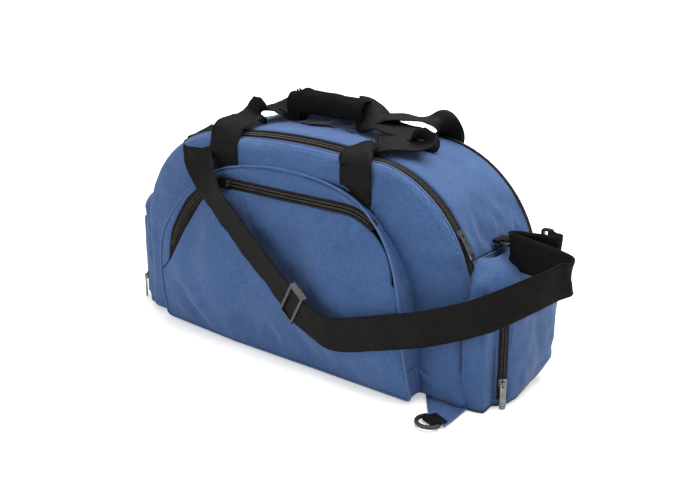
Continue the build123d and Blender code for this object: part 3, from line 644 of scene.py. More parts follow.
panel = shell(Parts(), front, BLUE, loop=True, uv=xz_uv(front))
rim = spread(sink(line_at(arch(HEM_Z, 300, 0.15), SEAM_Y - 1.0)))
tube(panel, rim, 1.15, BLUE_EDGE_PAINTED_HIGHLIGHT)
low_rim = rim[rim[:, 2] < 150]
tube(panel, low_rim[: len(low_rim) // 2] + (0.1, 1.9, 0), 0.8, NAVY)
for ring in (2, 4):
    pick = np.flatnonzero(front[:, ring, 2] > HEM_Z)
    stitches(panel, front[pick, ring] - (0, 0.1, 0), normal[pick, ring])
panel.object("front_panel_cloth", "front_panel")

rear = dished(1, REAR_SEAM_Y, REAR_Y - REAR_SEAM_Y)
sewn = sewn_edges(rear, first=2) | (rear[..., 2] < HELD_Z)
rear = settle(rear, sewn, loop=True, grow=0.010, cap=5.0, flip=True, pole=True)
normal = -grid_normals(rear, True)
rear = ripple(rear, normal, 2.4, 80, 9.0, from_rim(rear, 5))
rear = drawn_shut(crease(rear, normal, (
    ([(-206, 83, 190), (-190, 84, 120), (-200, 83, 50)], 14, -2.2),
    ([(206, 83, 180), (188, 84, 120), (198, 83, 60)], 14, -2.2),
)))
back = shell(Parts(), rear, BLUE, loop=True, flip=True, uv=xz_uv(rear))
pick = np.flatnonzero(rear[:, 3, 2] > HEM_Z)
stitches(back, rear[pick, 3], normal[pick, 3])
back.object("rear_panel_cloth", "rear_panel")

ALONG, ACROSS = 170, 32
top = band_grid(arch(SEAM_Z, ALONG), REAR_SEAM_Y, GUSSET_Y + 2.6, ACROSS)
top = settle(top, sewn_edges(top, ends=2, last=1), grow=0.016, pressure=3.5)
normal = grid_normals(top)
share = np.linspace(0, 1, ALONG)
near_end = np.exp(-((np.minimum(share, 1 - share) / 0.075) ** 2))[:, None]
fade = np.sin(np.pi * np.linspace(0.02, 0.98, ACROSS))[None, :] ** 0.5
top = ripple(top, normal, 1.5, 46, 5.0, fade)
top = ripple(top, normal, 3.4, 13, 2.0, near_end * fade, stretch=(0.35, 1.5, 0.35))
top = crease(top, normal, [
    ([(side * 235, y, 160), (side * 229, y + lean, 176), (side * 214, y + lean * 2, 198)], 4.0, -1.8)
    for y, lean in ((-30, 8), (-12, -4), (6, 6), (24, -6), (42, 5))
    for side in (1, -1)
])
roof_cloth = shell(Parts(), top, BLUE)
for row in (1, -2):
    stitches(roof_cloth, top[2:-2, row], normal[2:-2, row])
for row in (2, 4, -3, -5):
    stitches(roof_cloth, top[row, 1:-1], normal[row, 1:-1], pitch=3.6, length=2.6)
roof_cloth.object("top_gusset_cloth", "top_gusset")

outline = resample(dome(), 1600)
flank = outline[(outline[:, 0] > 100) & (outline[:, 1] > BASE_R) & (outline[:, 1] < SEAM_Z)]
flank = resample(flank, 34)
for side, name in SIDES:
    line = flank if side > 0 else flank[::-1] * (-1, 1)
    grid = band_grid(line, REAR_SEAM_Y, GUSSET_Y - 0.3, 28)
    grid = ripple(grid, grid_normals(grid), 1.0, 40, side * 4.0, np.sin(np.pi * np.linspace(0, 1, 28)))
    cloth = shell(Parts(), spread(grid), BLUE)
    shell(cloth, spread(band_grid(line[line[:, 1] < 143.5], GUSSET_Y, SEAM_Y, 6)), BLUE)
    tube(cloth, grid[-1 if side > 0 else 0] * (0.999, 1, 1) - (0, 0, 0.6), 1.0, BLUE_EDGE_PAINTED_HIGHLIGHT)
    cloth.object(f"{name}_end_cloth", f"{name}_end_panel")

foot = outline[outline[:, 1] <= BASE_R]
foot = resample(np.vstack([foot[::-1] * (-1, 1), foot[1:]]), 160)
base = shell(Parts(), spread(band_grid(foot, REAR_SEAM_Y, SEAM_Y, 26)), BASE_CLOTH)
for y in (SEAM_Y, REAR_SEAM_Y):
    tube(base, spread(line_at(foot, y) + (0, 0, 0.9)), 1.1, BASE_CLOTH)
base.object("base_cloth", "base_panel", "base_cloth")

piping = tube(Parts(), line_at(arch(SEAM_Z, 260, 1.7), REAR_SEAM_Y), 1.5, BASE_CLOTH, 8)
piping.object("rear_piping_cord", "rear_piping", "piping")

# ---- main zip

zip_low = low_high("main_zip_tape")[0][2]
zip_line = arch(zip_low, 330)
tape = Parts()
for y_from, y_to in ((ZIP_Y - 0.7, SEAM_Y - 0.2), (GUSSET_Y + 3.6, ZIP_Y + 0.7)):
    shell(tape, sink(band_grid(zip_line, y_from, y_to, 4, -0.5)), TAPE)
for off in (-4.4, 4.6, 6.6):
    tube(tape, sink(line_at(zip_line, ZIP_Y + off, -0.1)), 0.85, TAPE)
tape.object("main_zip_tape_cloth", "main_zip_tape", "zip_tape")
line = line_at(arch(zip_low + 2, 330), ZIP_Y)
across = unit(sink(line + (0, 1, 0)) - sink(line - (0, 1, 0)))
line = sink(line)
coil = teeth(line, across, np.cross(across, unit(steps(line))))
coil.object("main_zip_teeth", "main_zip_coil", "zip_coil")

# ---- front pocket

BOTTOM_Z, CROWN_Z = 4, 226
POCKET_X = 192
ZIP_Z = 198
BEND_X, BEND_R = 90, 90
KNEE = np.array((-110.0, 130.0))
BROW = np.array((-84.0, 228.0))
RISE = (BROW - KNEE)[1] / np.linalg.norm(BROW - KNEE)
belly = arc3((-101, -10), (-113, 62), KNEE, 80)


def face_y(z):
    low = np.interp(z, belly[:, 1], belly[:, 0])
    high = KNEE[0] + (z - KNEE[1]) * (BROW - KNEE)[0] / (BROW - KNEE)[1]
    return np.where(z < KNEE[1], low, high)


def on_face(xz, lift=0.0):
    """Points of the pocket's front. Its bottom hangs further out at the right than at the left."""
    x, z = xz[..., 0], xz[..., 1]
    skew = np.clip(1 - z / 110, 0, 1) * np.interp(x, (-195, -70, 60, 195), (14, 3, 0, -4))
    return xyz(x, face_y(z) + skew - lift, z)


def pocket_half(inset=0.0):
    """Right half of the pocket's outline, from the middle of its bottom to its crown."""
    half_wide, fall = 86, 10
    crown_r = (half_wide**2 + fall**2) / (2 * fall)
    meet = math.degrees(math.atan2(crown_r - fall, half_wide))
    pts = np.vstack([
        [(x, BOTTOM_Z) for x in (0, 60, 120, 170, POCKET_X)],
        arc(POCKET_X, BOTTOM_Z + 6, 6, -90, -8, 6),
        [(184, 100)],
        arc3((184, 100), (153, 172), (half_wide, CROWN_Z - fall), 40)[1:],
        arc(0, CROWN_Z - crown_r, crown_r, meet, 90, 16)[1:],
    ])
    if inset:
        pts = pts - outward(pts) * inset
        pts[0, 0] = pts[-1, 0] = 0
    return pts


def inside(pts, inset):
    side = pocket_half(inset)[5:]
    return np.abs(pts[:, 0]) < np.interp(pts[:, 1], side[:, 1], side[:, 0])


bend = arc(BEND_X, -BEND_R, BEND_R, 14, 90, 60)
ZIP_MID = np.vstack([
    np.stack([bend[:, 0], ZIP_Z + bend[:, 1] * RISE], 1),
    smooth_path([
        (70, ZIP_Z), (0, ZIP_Z), (-84, ZIP_Z), (-104, 195), (-122, 182), (-140, 162),
        (-152, 138), (-160, 114), (-168, 94), (-180, 80), (-196, 70),
    ], 300),
])


def zip_run(shift, count=320):
    """Points of the pocket's zip, from its right end to its left end, moved up by shift."""
    pts = resample(ZIP_MID, count)
    widening = np.interp(-pts[:, 0], (108, 138, 156, 166, 171), (1, 1.7, 1.5, 0.35, 0.05))
    return pts + outward(pts) * (shift * widening)[:, None]


TAPE_EDGE = 5.6
low_edge = zip_run(-TAPE_EDGE, 400)
low_edge = low_edge[inside(low_edge, 2.0)]
pocket_line = resample(pocket_half(1.0), 900)
right_part = pocket_line[pocket_line[:, 1] < low_edge[0, 1]]
left_part = pocket_line[pocket_line[:, 1] < low_edge[-1, 1]]
edge = np.vstack([right_part, low_edge, left_part[::-1][:-1] * (-1, 1)])
edge = resample(edge, AROUND, closed=True)
rings = []
for inset, times in ((0, 0), (0.7, 0), (1.8, 4), (3.4, 16), (5.5, 50), (8.0, 120)):
    rings.append(relax(edge - outward(edge, True) * inset, times))
last = rings[-1]
heart = relax(last, 500)
for share in np.linspace(0.955, 0.015, 30):
    rings.append((last * share + heart * (1 - share)) * share + np.array((0, 92)) * (1 - share))
face = on_face(np.stack(rings, 1))
x, z = face[..., 0], face[..., 2]
swell = np.clip(1 - (x / POCKET_X) ** 2, 0, 1) * np.sin(np.pi * np.clip((z - 4) / 194, 0, 1)) ** 0.7
face[..., 1] -= 1.6 * swell
for ring, dip in enumerate((2.2, 0.8, 0.1)):
    face[:, ring, 1] += dip
face = settle(face, sewn_edges(face, first=3), loop=True, grow=0.016, pole=True)
normal = grid_normals(face, True)
face = ripple(face, normal, 3.6, 95, 1.0, from_rim(face, 7))
face = ripple(face, normal, 1.0, 30, 6.0, from_rim(face, 7))
face = drawn_shut(crease(face, normal, (
    ([(-172, -98, 84), (-146, -106, 40), (-112, -108, -6)], 9, -4.2),
    ([(-156, -100, 96), (-126, -108, 50), (-90, -109, 0)], 13, 3.4),
    ([(-138, -96, 176), (-124, -104, 120), (-132, -108, 40)], 17, -4.6),
    ([(-108, -96, 190), (-90, -106, 120), (-78, -110, 40)], 19, 3.8),
    ([(168, -100, 172), (173, -104, 130), (172, -106, 76)], 6, -3.6),
    ([(154, -98, 182), (160, -104, 128), (162, -106, 80)], 10, 2.2),
    ([(112, -96, 194), (134, -104, 130), (146, -108, 50)], 15, -3.6),
    ([(-20, -98, 190), (30, -106, 136), (76, -112, 84)], 18, -3.6),
    ([(20, -98, 194), (74, -106, 140), (112, -112, 84)], 18, 3.0),
    ([(20, -110, 66), (84, -112, 38), (156, -108, 26)], 17, 2.4),
    ([(-70, -110, 50), (0, -112, 28), (70, -112, 12)], 17, -2.2),
    ([(-62, -108, 170), (4, -112, 124), (66, -114, 78)], 19, -4.5),
)))
pocket = shell(Parts(), face, BLUE, loop=True, uv=xz_uv(face))
pick = np.flatnonzero(face[:, 3, 2] > 10)
stitches(pocket, face[pick, 3], normal[pick, 3])
pocket.object("pocket_face_cloth", "front_pocket_face")

FLAP_LONG, FLAP_ROWS = 150, 9
high_edge = zip_run(TAPE_EDGE, 400)
high_edge = high_edge[inside(high_edge, 2.5)]
right_part = pocket_line[pocket_line[:, 1] > high_edge[0, 1]]
left_part = pocket_line[pocket_line[:, 1] > high_edge[-1, 1]]
crown = resample(np.vstack([right_part, left_part[::-1][1:] * (-1, 1)]), FLAP_LONG)
share = np.linspace(0, 1, FLAP_ROWS)
blend = share[None, :, None]
flap = on_face(crown[:, None] * (1 - blend) + resample(high_edge, FLAP_LONG)[:, None] * blend, -0.4)
bow = np.sin(np.pi * share)
flap[..., 1] -= 1.6 * bow
flap[:, 0, 1] += 1.5
normal = grid_normals(flap)
flap = ripple(flap, normal, 1.4, 40, 7.0, bow)
band = shell(Parts(), flap, BLUE, uv=xz_uv(flap))
for row in (1, FLAP_ROWS - 2):
    stitches(band, flap[3:-3, row], normal[3:-3, row])
band.object("pocket_flap_cloth", "front_pocket_flap")

WALL_LONG, WALL_COLS = 380, 12
wall_line = resample(both_halves(resample(pocket_half(), 220))[:-1], WALL_LONG, closed=True)
rim = on_face(wall_line)
root = line_at(wall_line, FRONT_Y + 0.6)
share = np.linspace(0, 1, WALL_COLS)
pinch = np.sin(np.pi * share)
out = outward(wall_line, True)
wall = root[:, None] * (1 - share[:, None]) + rim[:, None] * share[:, None]
wall = wall - xyz(out[:, 0], 0, out[:, 1])[:, None] * (1.6 * pinch)[:, None]
normal = grid_normals(wall, True)
wall = ripple(wall, normal, 1.8, 22, 8.0, pinch, stretch=(1, 0.6, 1))
side_wall = shell(Parts(), wall, BLUE, loop=True)
tube(side_wall, rim - (0, 0.2, 0), 1.25, BLUE_EDGE_PAINTED_HIGHLIGHT, 8, closed=True)
tube(side_wall, root - (0, 0.8, 0), 0.9, DARK_THREAD, closed=True)
join_at = int(np.argmin(np.abs(wall_line[:, 1] - 38) + (wall_line[:, 0] < 0) * 999))
tube(side_wall, wall[join_at] + normal[join_at] * 0.2, 0.55, NAVY)
side_wall.object("pocket_gusset_cloth", "front_pocket_gusset")

mid = zip_run(0)
keep = inside(mid, 2.2) & ((mid[:, 0] > 0) | (mid[:, 1] > 96))
tape = Parts()
for high, low in ((TAPE_EDGE, 0.6), (-0.6, -TAPE_EDGE)):
    grid = np.stack([on_face(zip_run(shift), -0.6) for shift in np.linspace(high, low, 5)], 1)
    shell(tape, grid[keep], TAPE)
for shift in (-4.3, 4.3):
    tube(tape, on_face(zip_run(shift)[keep], -0.1), 0.8, TAPE)
tape.object("pocket_zip_tape_cloth", "front_pocket_zip_tape", "zip_tape")
line = on_face(mid[inside(mid, 3.5) & ((mid[:, 0] > 0) | (mid[:, 1] > 108))])
out = np.tile((0.0, -RISE, math.sqrt(1 - RISE**2)), (len(line), 1))
coil = teeth(line, np.cross(out, unit(steps(line))), out)
coil.object("pocket_zip_teeth", "front_pocket_zip_coil", "zip_coil")

# ---- end pockets

END_LOW, END_HIGH = low_high("right_end_pocket")
END_X = END_HIGH[0]
CORNER_R = 30
CORNER_AT = np.array((END_X - CORNER_R, END_LOW[1] + CORNER_R))
STRAIGHT_Z = 118
ZIP_TURN = math.radians(50)
ZIP_LOW, ZIP_HIGH = (corner[2] for corner in low_high("right_end_zip_tape"))
PLAN_POINTS = 150
roof = arc3((END_X, STRAIGHT_Z), (END_X - 14, 148), (HALF - 12, END_HIGH[2]), 60)


def end_section(z):
    """Plan of the right end pocket at a height, from the front seam round to the rear seam."""
    reach = np.interp(z, roof[:, 1], roof[:, 0]) if z > STRAIGHT_Z else END_X
    reach -= max(0.0, 13 - z) * 0.55
    fall = max(0.0, z - (END_HIGH[2] - CORNER_R))
    tuck = CORNER_R - math.sqrt(max(0.0, CORNER_R**2 - fall**2))
    y0, y1 = END_LOW[1] + tuck, END_HIGH[1] - tuck
    body = dome(0.6)
    body = body[(body[:, 0] > 60) & (body[:, 1] > 0)]
    x0 = np.interp(z, body[:, 1], body[:, 0]) - 3
    r = min(CORNER_R, max(2.0, reach - x0 - 1), (y1 - y0) / 2 - 1)
    plan = np.vstack([
        [(x0, y0)],
        arc(reach - r, y0 + r, r, -90, 0, 24),
        arc(reach - r, y1 - r, r, 0, 90, 24),
        [(x0, y1)],
    ])
    plan = resample(plan, PLAN_POINTS)
    return xyz(plan[:, 0], plan[:, 1], z)


def corner_line(off, radius):
    """Upright line on the pocket's round front corner, off its zip's middle, and its outward normals."""
    turn = ZIP_TURN + off / CORNER_R
    out = xyz(math.sin(turn), -math.cos(turn), np.zeros(60))
    return out * radius + (*CORNER_AT, 0) + xyz(0, 0, np.linspace(ZIP_LOW, ZIP_HIGH, 60)), out


def along_zip(points):
    """Tells which points are at the height of the zip, on the front."""
    y, z = points[..., 1], points[..., 2]
    return (z > ZIP_LOW - 3) & (z < ZIP_HIGH + 3) & (y < CORNER_AT[1] + 4)


roof_z = resample(roof, 200)[:, 1]
roof_z = np.interp(np.linspace(0, 1, 27)[1:], np.linspace(0, 1, 200), roof_z)
levels = np.concatenate([np.linspace(0.8, STRAIGHT_Z, 34), roof_z[roof_z < END_HIGH[2] - 0.3]])
block = np.stack([end_section(z) for z in levels], 1)
rear_rise = 25 * np.clip((block[..., 1] + 22) / (END_HIGH[1] + 22), 0, 1)
block[..., 2] += rear_rise * np.clip(1 - block[..., 2] / STRAIGHT_Z, 0, 1)
x, y, z = np.moveaxis(block, -1, 0)
turn = np.arctan2(x - CORNER_AT[0], CORNER_AT[1] - y)
from_zip = np.abs(turn - ZIP_TURN) * CORNER_R
reach = ease((32 - np.degrees(turn)) / 20) * np.clip((150 - z) / 60, 0, 1) * (y < CORNER_AT[1])
reach = xyz(9 * reach * np.clip((x - HALF + 4) / 14, 0, 1), -18 * reach, 0)
near_zip = along_zip(block) & (from_zip < 9)
block = settle(block, sewn_edges(block, ends=2, last=1) | near_zip, grow=0.014)
normal = grid_normals(block)
calm = np.where(near_zip, 0.0, 1.0)
calm[:3] = calm[-3:] = 0.2
lips = 0.9 * np.exp(-(((from_zip - 7.2) / 1.3) ** 2)) - 1.6 * np.exp(-((from_zip / 5.5) ** 4))
block = block + normal * (along_zip(block) * lips)[..., None]
for (side, name), seed in zip(SIDES, (3.0, 17.0)):
    grid = ripple(block, normal, 2.4, 60, seed, calm)
    grid = ripple(grid, normal, 0.9, 22, seed + 2, calm)
    grid = crease(grid, normal * calm[..., None], (
        ([(283, -10, 120), (284, 6, 60), (280, 16, 12)], 8, -2.4),
        ([(283, 30, 120), (284, 40, 70), (280, 46, 20)], 9, 1.8),
        ([(262, -60, 146), (256, -63, 100), (254, -63, 50)], 4, -2.0),
        ([(248, -62, 120), (249, -63, 84), (249, -63, 40)], 3, 1.6),
        ([(266, -20, 152), (276, 0, 146), (268, 24, 152)], 7, -2.4),
        ([(248, -38, 157), (256, -62, 128), (252, -64, 90)], 5, -4.0),
        ([(240, -50, 152), (249, -64, 122), (246, -64, 70)], 5, 2.6),
        ([(266, -40, 146), (271, -56, 120), (267, -59, 104)], 4, -3.0),
    ))
    if side > 0:
        grid = grid + reach
    mirror = np.array((side, 1, 1))
    grid = grid * mirror
    pouch = shell(Parts(), grid, BLUE, flip=side < 0)
    for row in (2, -3):
        stitches(pouch, grid[row, 2:-2], (normal * mirror)[row, 2:-2])
    for off in (-9.2, 9.2):
        line, out = corner_line(off, CORNER_R + 0.7)
        stitches(pouch, line * mirror, out * mirror)
    for row in (0, -1):
        tube(pouch, grid[row], 1.1, NAVY)
    foot = grid[:, 0]
    tube(pouch, foot + (0, 0, 0.6), 1.3, BASE_CLOTH)
    at_body = xyz(side * (HALF - 2), foot[:, 1], foot[:, 2])
    floor = [at_body + (foot - at_body) * share for share in np.linspace(1.0, 0.0, 7)]
    shell(pouch, np.stack(floor, 1), BASE_CLOTH, flip=side > 0)
    pouch.object(f"{name}_end_pocket_cloth", f"{name}_end_pocket")

    tape = Parts()
    for first, last in ((-6.4, -0.7), (0.7, 6.4)):
        grid = np.stack([corner_line(off, CORNER_R - 0.3)[0] for off in np.linspace(first, last, 5)], 1)
        shell(tape, grid * mirror, TAPE, thick=1.0, flip=side > 0)
    tape.object(f"{name}_end_zip_tape_cloth", f"{name}_end_zip_tape", "zip_tape")
    line, out = corner_line(0, CORNER_R)
    coil = teeth(line * mirror, np.cross(UPRIGHT, out) * mirror, out * mirror)
    coil.object(f"{name}_end_zip_teeth", f"{name}_end_zip_coil", "zip_coil")

# ---- webbing

WEB_W = 38.0
WEB_T = 1.6
LOOP_R = 2.9 + WEB_T / 2


def webbing(parts, path, wide, width=WEB_W, cols=11, wave=0.5, seed=0.0, curl=0.0):
    """Webbing along a path, with a little waviness and rolled selvedges. Wide holds its width directions."""
    path = np.asarray(path, float)
    way = unit(steps(path))
    wide = np.broadcast_to(np.asarray(wide, float), path.shape)
    wide = unit(wide - way * np.sum(wide * way, axis=1, keepdims=True))
    share = np.linspace(-0.5, 0.5, cols)
    grid = path[:, None] + wide[:, None] * (share * width)[None, :, None]
    normal = grid_normals(grid)
    grid = grid + normal * (curl * (2 * share) ** 2)[None, :, None]
    grid = ripple(grid, normal, wave, 34, seed)
    uv = np.stack(np.meshgrid(lengths(path), (share + 0.5) * width, indexing="ij"), -1)
    shell(parts, grid + normal * WEB_T / 2, WEB, thick=WEB_T, uv=uv)
    for j in (0, -1):
        tube(parts, grid[:, j], WEB_T * 0.52, WEB)
    return parts


def handle_leg(parts, knots, count, **look):
    """Webbing through knots, each a place and the direction of its width there."""
    places, wides = np.array(knots, float).swapaxes(0, 1)
    turn = sample(wides, np.arange(len(wides)), np.linspace(0, len(wides) - 1, count))
    return webbing(parts, smooth_path(places, count), unit(turn), **look)


def round_bar(bar, away, across, first, last, turn=(-102.63, 102.63), count=40):
    """Webbing's centre line to a bar, round it and back. First and last are distances from the bar."""
    gap = across * 0.9
    path = [bar + away * s - gap for s in first]
    for t in np.radians(np.linspace(*turn, 6)):
        path.append(bar + (across * math.sin(t) - away * math.cos(t)) * LOOP_R)
    path += [bar + away * s + gap for s in last]
    return smooth_path(path, count)


leg_low = low_high("front_handle")[0]
LEG_Z = leg_low[2]
FRONT_LEG_Y = leg_low[1] + WEB_T / 2
REAR_LEG_Y = low_high("rear_handle")[1][1] - WEB_T / 2
LEG_X = 95
FRONT_RIGHT_X = 103
GRIP_LOW, GRIP_HIGH = low_high("grip_wrap")
GRIP_MID_Z = 282

x, y = FRONT_RIGHT_X, FRONT_LEG_Y
front_handle = handle_leg(Parts(), [
    ((x, y, LEG_Z - 18), LEVEL), ((x, y, LEG_Z), LEVEL), ((x, y - 1, 238), LEVEL),
    ((x - 2, y + 2, 249), LEVEL), ((x - 9, -71, 257), (1, 0.2, 0)), ((x - 8, -54, 260), (0.8, 0.6, 0.1)),
    ((x + 12, -38, 262), (0.2, 0.95, 0.1)), ((x + 34, -16, 262), (-0.2, 0.95, 0.15)),
    ((x + 38, -6, 264), (-0.3, 0.9, 0.1)), ((x + 30, 0, 268), (-0.2, 0.95, 0.1)),
    ((x + 12, 0, 270), (0, 1, 0.1)), ((x - 8, 0, 273), (0, 1, 0.15)), ((82, 0, 276), (0, 1, 0.2)),
    ((62, 0, 279), (0, 0.8, 0.6)), ((40, 0, GRIP_MID_Z), UPRIGHT),
], 150, seed=1.0, wave=2.6, curl=1.2)
x = -LEG_X
handle_leg(front_handle, [
    ((x, y, LEG_Z - 14), LEVEL), ((x, y, LEG_Z), LEVEL), ((x, y - 1, 238), (1, 0.1, 0)),
    ((x, y + 2, 252), (0.9, 0.4, 0)), ((x - 1, y + 13, 263), (0.8, 0.6, 0)), ((x, -48, 268), (0.6, 0.8, 0.1)),
    ((-93, -24, 272), (0.3, 0.95, 0.1)), ((-82, -6, 276), (0, 1, 0.15)), ((-66, 0, 280), (0, 0.9, 0.5)),
    ((-48, 0, GRIP_MID_Z), UPRIGHT),
], 120, seed=5.0, wave=1.4, curl=0.6)
in_grip = xyz(np.linspace(-50, 42, 40), 0, GRIP_MID_Z + 4)
webbing(front_handle, in_grip, UPRIGHT, width=25, wave=0.1)
front_handle.object("front_handle_webbing", "front_handle", "webbing")

x, y = LEG_X, REAR_LEG_Y
rear_handle = handle_leg(Parts(), [
    ((x, y, LEG_Z), LEVEL), ((x + 6, y + 0.6, 236), LEVEL), ((x + 20, y - 6, 248), (1, 0.1, 0)),
    ((x + 27, 64, 260), (0.8, 0.6, 0)), ((x + 24, 50, 272), (0.1, 1, -0.1)),
    ((x + 12, 36, 278), (-0.4, 0.9, -0.1)), ((x - 6, 22, 281), (-0.3, 0.9, 0)), ((72, 11, 281), (-0.1, 1, 0)),
    ((56, 6, 282), (0, 0.8, 0.6)), ((38, 6, GRIP_MID_Z), UPRIGHT),
], 120, seed=9.0, wave=1.0, curl=0.5)
x = -LEG_X
handle_leg(rear_handle, [
    ((x, y, LEG_Z), LEVEL), ((x - 1, y + 0.6, 238), LEVEL), ((x - 4, y - 2, 250), (1, 0.1, 0)),
    ((x - 6, y - 14, 258), (1, 0.2, 0)), ((x - 2, 50, 263), (0.9, 0.4, 0)),
    ((x + 6, 30, 267), (0.9, 0.45, 0)), ((-78, 14, 273), (0.7, 0.7, 0)),
    ((-64, 7, 278), (0.2, 1, 0.1)), ((-48, 6, GRIP_MID_Z), UPRIGHT),
], 110, seed=12.0, wave=1.0, curl=0.5)
webbing(rear_handle, in_grip + (0, 6, 0), UPRIGHT, width=25, wave=0.1)
rear_handle.object("rear_handle_webbing", "rear_handle", "webbing")

PATCH_TOP = LEG_Z + 22
patches = Parts()
for face, y, right_x in ((-1, FRONT_LEG_Y, FRONT_RIGHT_X), (1, REAR_LEG_Y, LEG_X)):
    y += face * 1.7
    for x in (-LEG_X, right_x):
        path = xyz(float(x), y, np.linspace(LEG_Z + 1, PATCH_TOP, 24))
        path[-4:, 1] -= face * np.linspace(0, 0.8, 4)
        webbing(patches, path, (face, 0, 0), width=WEB_W + 3, seed=x * 0.1, wave=0.7, curl=0.4)
        for z in (LEG_Z + 5, LEG_Z + 9, PATCH_TOP - 4):
            row = xyz(np.linspace(x - 17, x + 17, 20), y + face * 1.3, z)
            stitches(patches, row, row * 0 + (0, face, 0), DARK_THREAD, pitch=3.4, length=2.4)
patches.object("handle_patch_webbing", "handle_patches", "webbing")

# ---- grip

GRIP_LONG, GRIP_ROUND = 56, 46
profile = smooth_path([
    (-10, 284), (-11.5, 290), (-10, 298), (-6, 304), (0, 306.5), (6, 306),
    (13, 301), (16, 290), (15.5, 277), (11, 269), (3, 266.5), (-14, 266.5),
], GRIP_ROUND)
xs = np.linspace(GRIP_LOW[0] - 1, GRIP_HIGH[0] + 5, GRIP_LONG)[:, None]
along = np.linspace(-1, 1, GRIP_LONG)[:, None]
sag = 5.0 + 3.5 * along**2 + 2.0 * np.exp(-(((along - 0.45) / 0.08) ** 2))
sway = np.sin(along * 5) * np.linspace(0.3, 1, GRIP_ROUND)
wrap = xyz(xs, profile[:, 0] + sway, profile[:, 1] - sag)
wrap = settle(wrap, sewn_edges(wrap, ends=1, last=1), grow=0.02, pressure=2.0, cap=2.5)
normal = grid_normals(wrap)
if np.mean(normal[:, 20, 2]) < 0:
    normal = -normal
wrap = ripple(wrap, normal, 1.6, 26, 3.0)
wrap = crease(wrap, normal, (
    ([(-44, -6, 294), (-38, 2, 300), (-30, 10, 298)], 5, 3.0),
    ([(20, -10, 284), (28, -8, 293), (33, 2, 300)], 4, -3.0),
    ([(-20, -11, 278), (0, -11, 281), (20, -11, 277)], 4, -1.6),
))
inwards = np.mean(grid_normals(wrap)[:, 20, 2]) <= 0
cover = shell(Parts(), wrap, GRIP, thick=2.2, flip=inwards)
core = wrap - normal * 1.2
for edge, radius in ((core[:, 0], 2.0), (core[:, -1], 2.0), (core[0], 1.9), (core[-1], 1.9)):
    tube(cover, edge, radius, GRIP, 8)
stitches(cover, wrap[2:-2, 3], normal[2:-2, 3], DARK_THREAD)
cover.object("grip_cover", "grip_wrap", "grip_cloth")
lining = shell(Parts(), (wrap - normal * 2.5)[1:-1, 1:-1], NAVY, thick=0.9, flip=inwards)
lining.object("grip_lining_cloth", "grip_lining", "grip_lining")

# ---- tabs and ends

LEFT_TAB_TURN = math.radians(24)
LEFT_TAB_R = SHOULDER_R + 4.7
tab_low, tab_high = low_high("right_end_tab")
right_bar = np.array((tab_high[0] - 4.5, 0, (tab_low[2] + tab_high[2]) / 2))
sine, cosine = math.sin(LEFT_TAB_TURN), math.cos(LEFT_TAB_TURN)
left_bar = np.array((-SIDE_X - LEFT_TAB_R * cosine, 0, SHOULDER_Z + LEFT_TAB_R * sine))
for name, bar, away, across, leg in (
    ("right", right_bar, (-1, 0, 0), UPRIGHT, right_bar[0] - tab_low[0]),
    ("left", left_bar, (-sine, 0, -cosine), (-cosine, 0, sine), 7.0),
):
    back = [leg * share for share in (1, 0.7, 0.45)]
    path = round_bar(bar, np.array(away), np.array(across), back, back[::-1], turn=(-105.24, 80.48))
    tab = webbing(Parts(), path, (0, 1, 0), width=21.5, cols=7, wave=0.2)
    tab.object(f"{name}_end_tab_webbing", f"{name}_end_tab", "webbing")

CORNER_BAR = np.array((241, -133, 4.7))
CORNER_WAY = unit((0.93, -0.37, 0))
CORNER_BACK = np.array((-CORNER_WAY[1], CORNER_WAY[0], 0))
us, vs = np.linspace(0, 1, 30)[:, None], np.linspace(0, 1, 22)
near = CORNER_BAR + CORNER_BACK * 7 + (2 * us - 1) * CORNER_WAY * 14
far = np.array((199, -80, 2.2)) * (1 - us) + np.array((251, -79, 2.2)) * us
grid = near[:, None] * (1 - vs[:, None]) + far[:, None] * vs[:, None]
bulge = np.sin(np.pi * us) * np.sin(np.pi * np.clip(vs * 0.8 + 0.1, 0, 1))
grid[..., 2] = 2.6 + 3.2 * bulge + 1.2 * np.exp(-((vs / 0.2) ** 2))
grid = ripple(grid, grid_normals(grid), 1.1, 20, 5.0, bulge)
flap = shell(Parts(), grid, BLUE, thick=1.6, flip=np.mean(grid_normals(grid)[..., 2]) <= 0)
for edge in (grid[0], grid[-1], grid[:, 0]):
    tube(flap, edge - (0, 0, 0.6), 1.2, BLUE_EDGE_PAINTED_HIGHLIGHT)
    stitches(flap, edge * 0.97 + grid.mean((0, 1)) * 0.03 + (0, 0, 0.5), edge * 0 + UPRIGHT)
flap.object("front_corner_tab_cloth", "front_corner_tab")
path = round_bar(CORNER_BAR, CORNER_BACK, np.array(UPRIGHT), (12, 8, 5), (5, 8, 13), count=44)
loop = webbing(Parts(), path, CORNER_WAY, width=21, cols=7, wave=0.2)
loop.object("front_corner_loop_webbing", "front_corner_loop", "webbing")

# ---- shoulder strap

RUN_TOP = np.array((-45.0, -120, 158))
RUN_END = np.array((63.0, -132, 80.4))
RUN_TURN = math.radians(12)
RUN_WAY = unit(RUN_END - RUN_TOP)
RUN_FLAT = unit(np.cross(RUN_WAY, (0, 1, 0)))
RUN_WIDE = RUN_FLAT * math.cos(RUN_TURN) + np.cross(RUN_WAY, RUN_FLAT) * math.sin(RUN_TURN)
LEFT_WAY = unit((0.45, 0, 0.893))
LEFT_EYE = np.array((-221.984, 0, 216.747))
RIGHT_EYE = np.array((297.7, 0, 168.5))

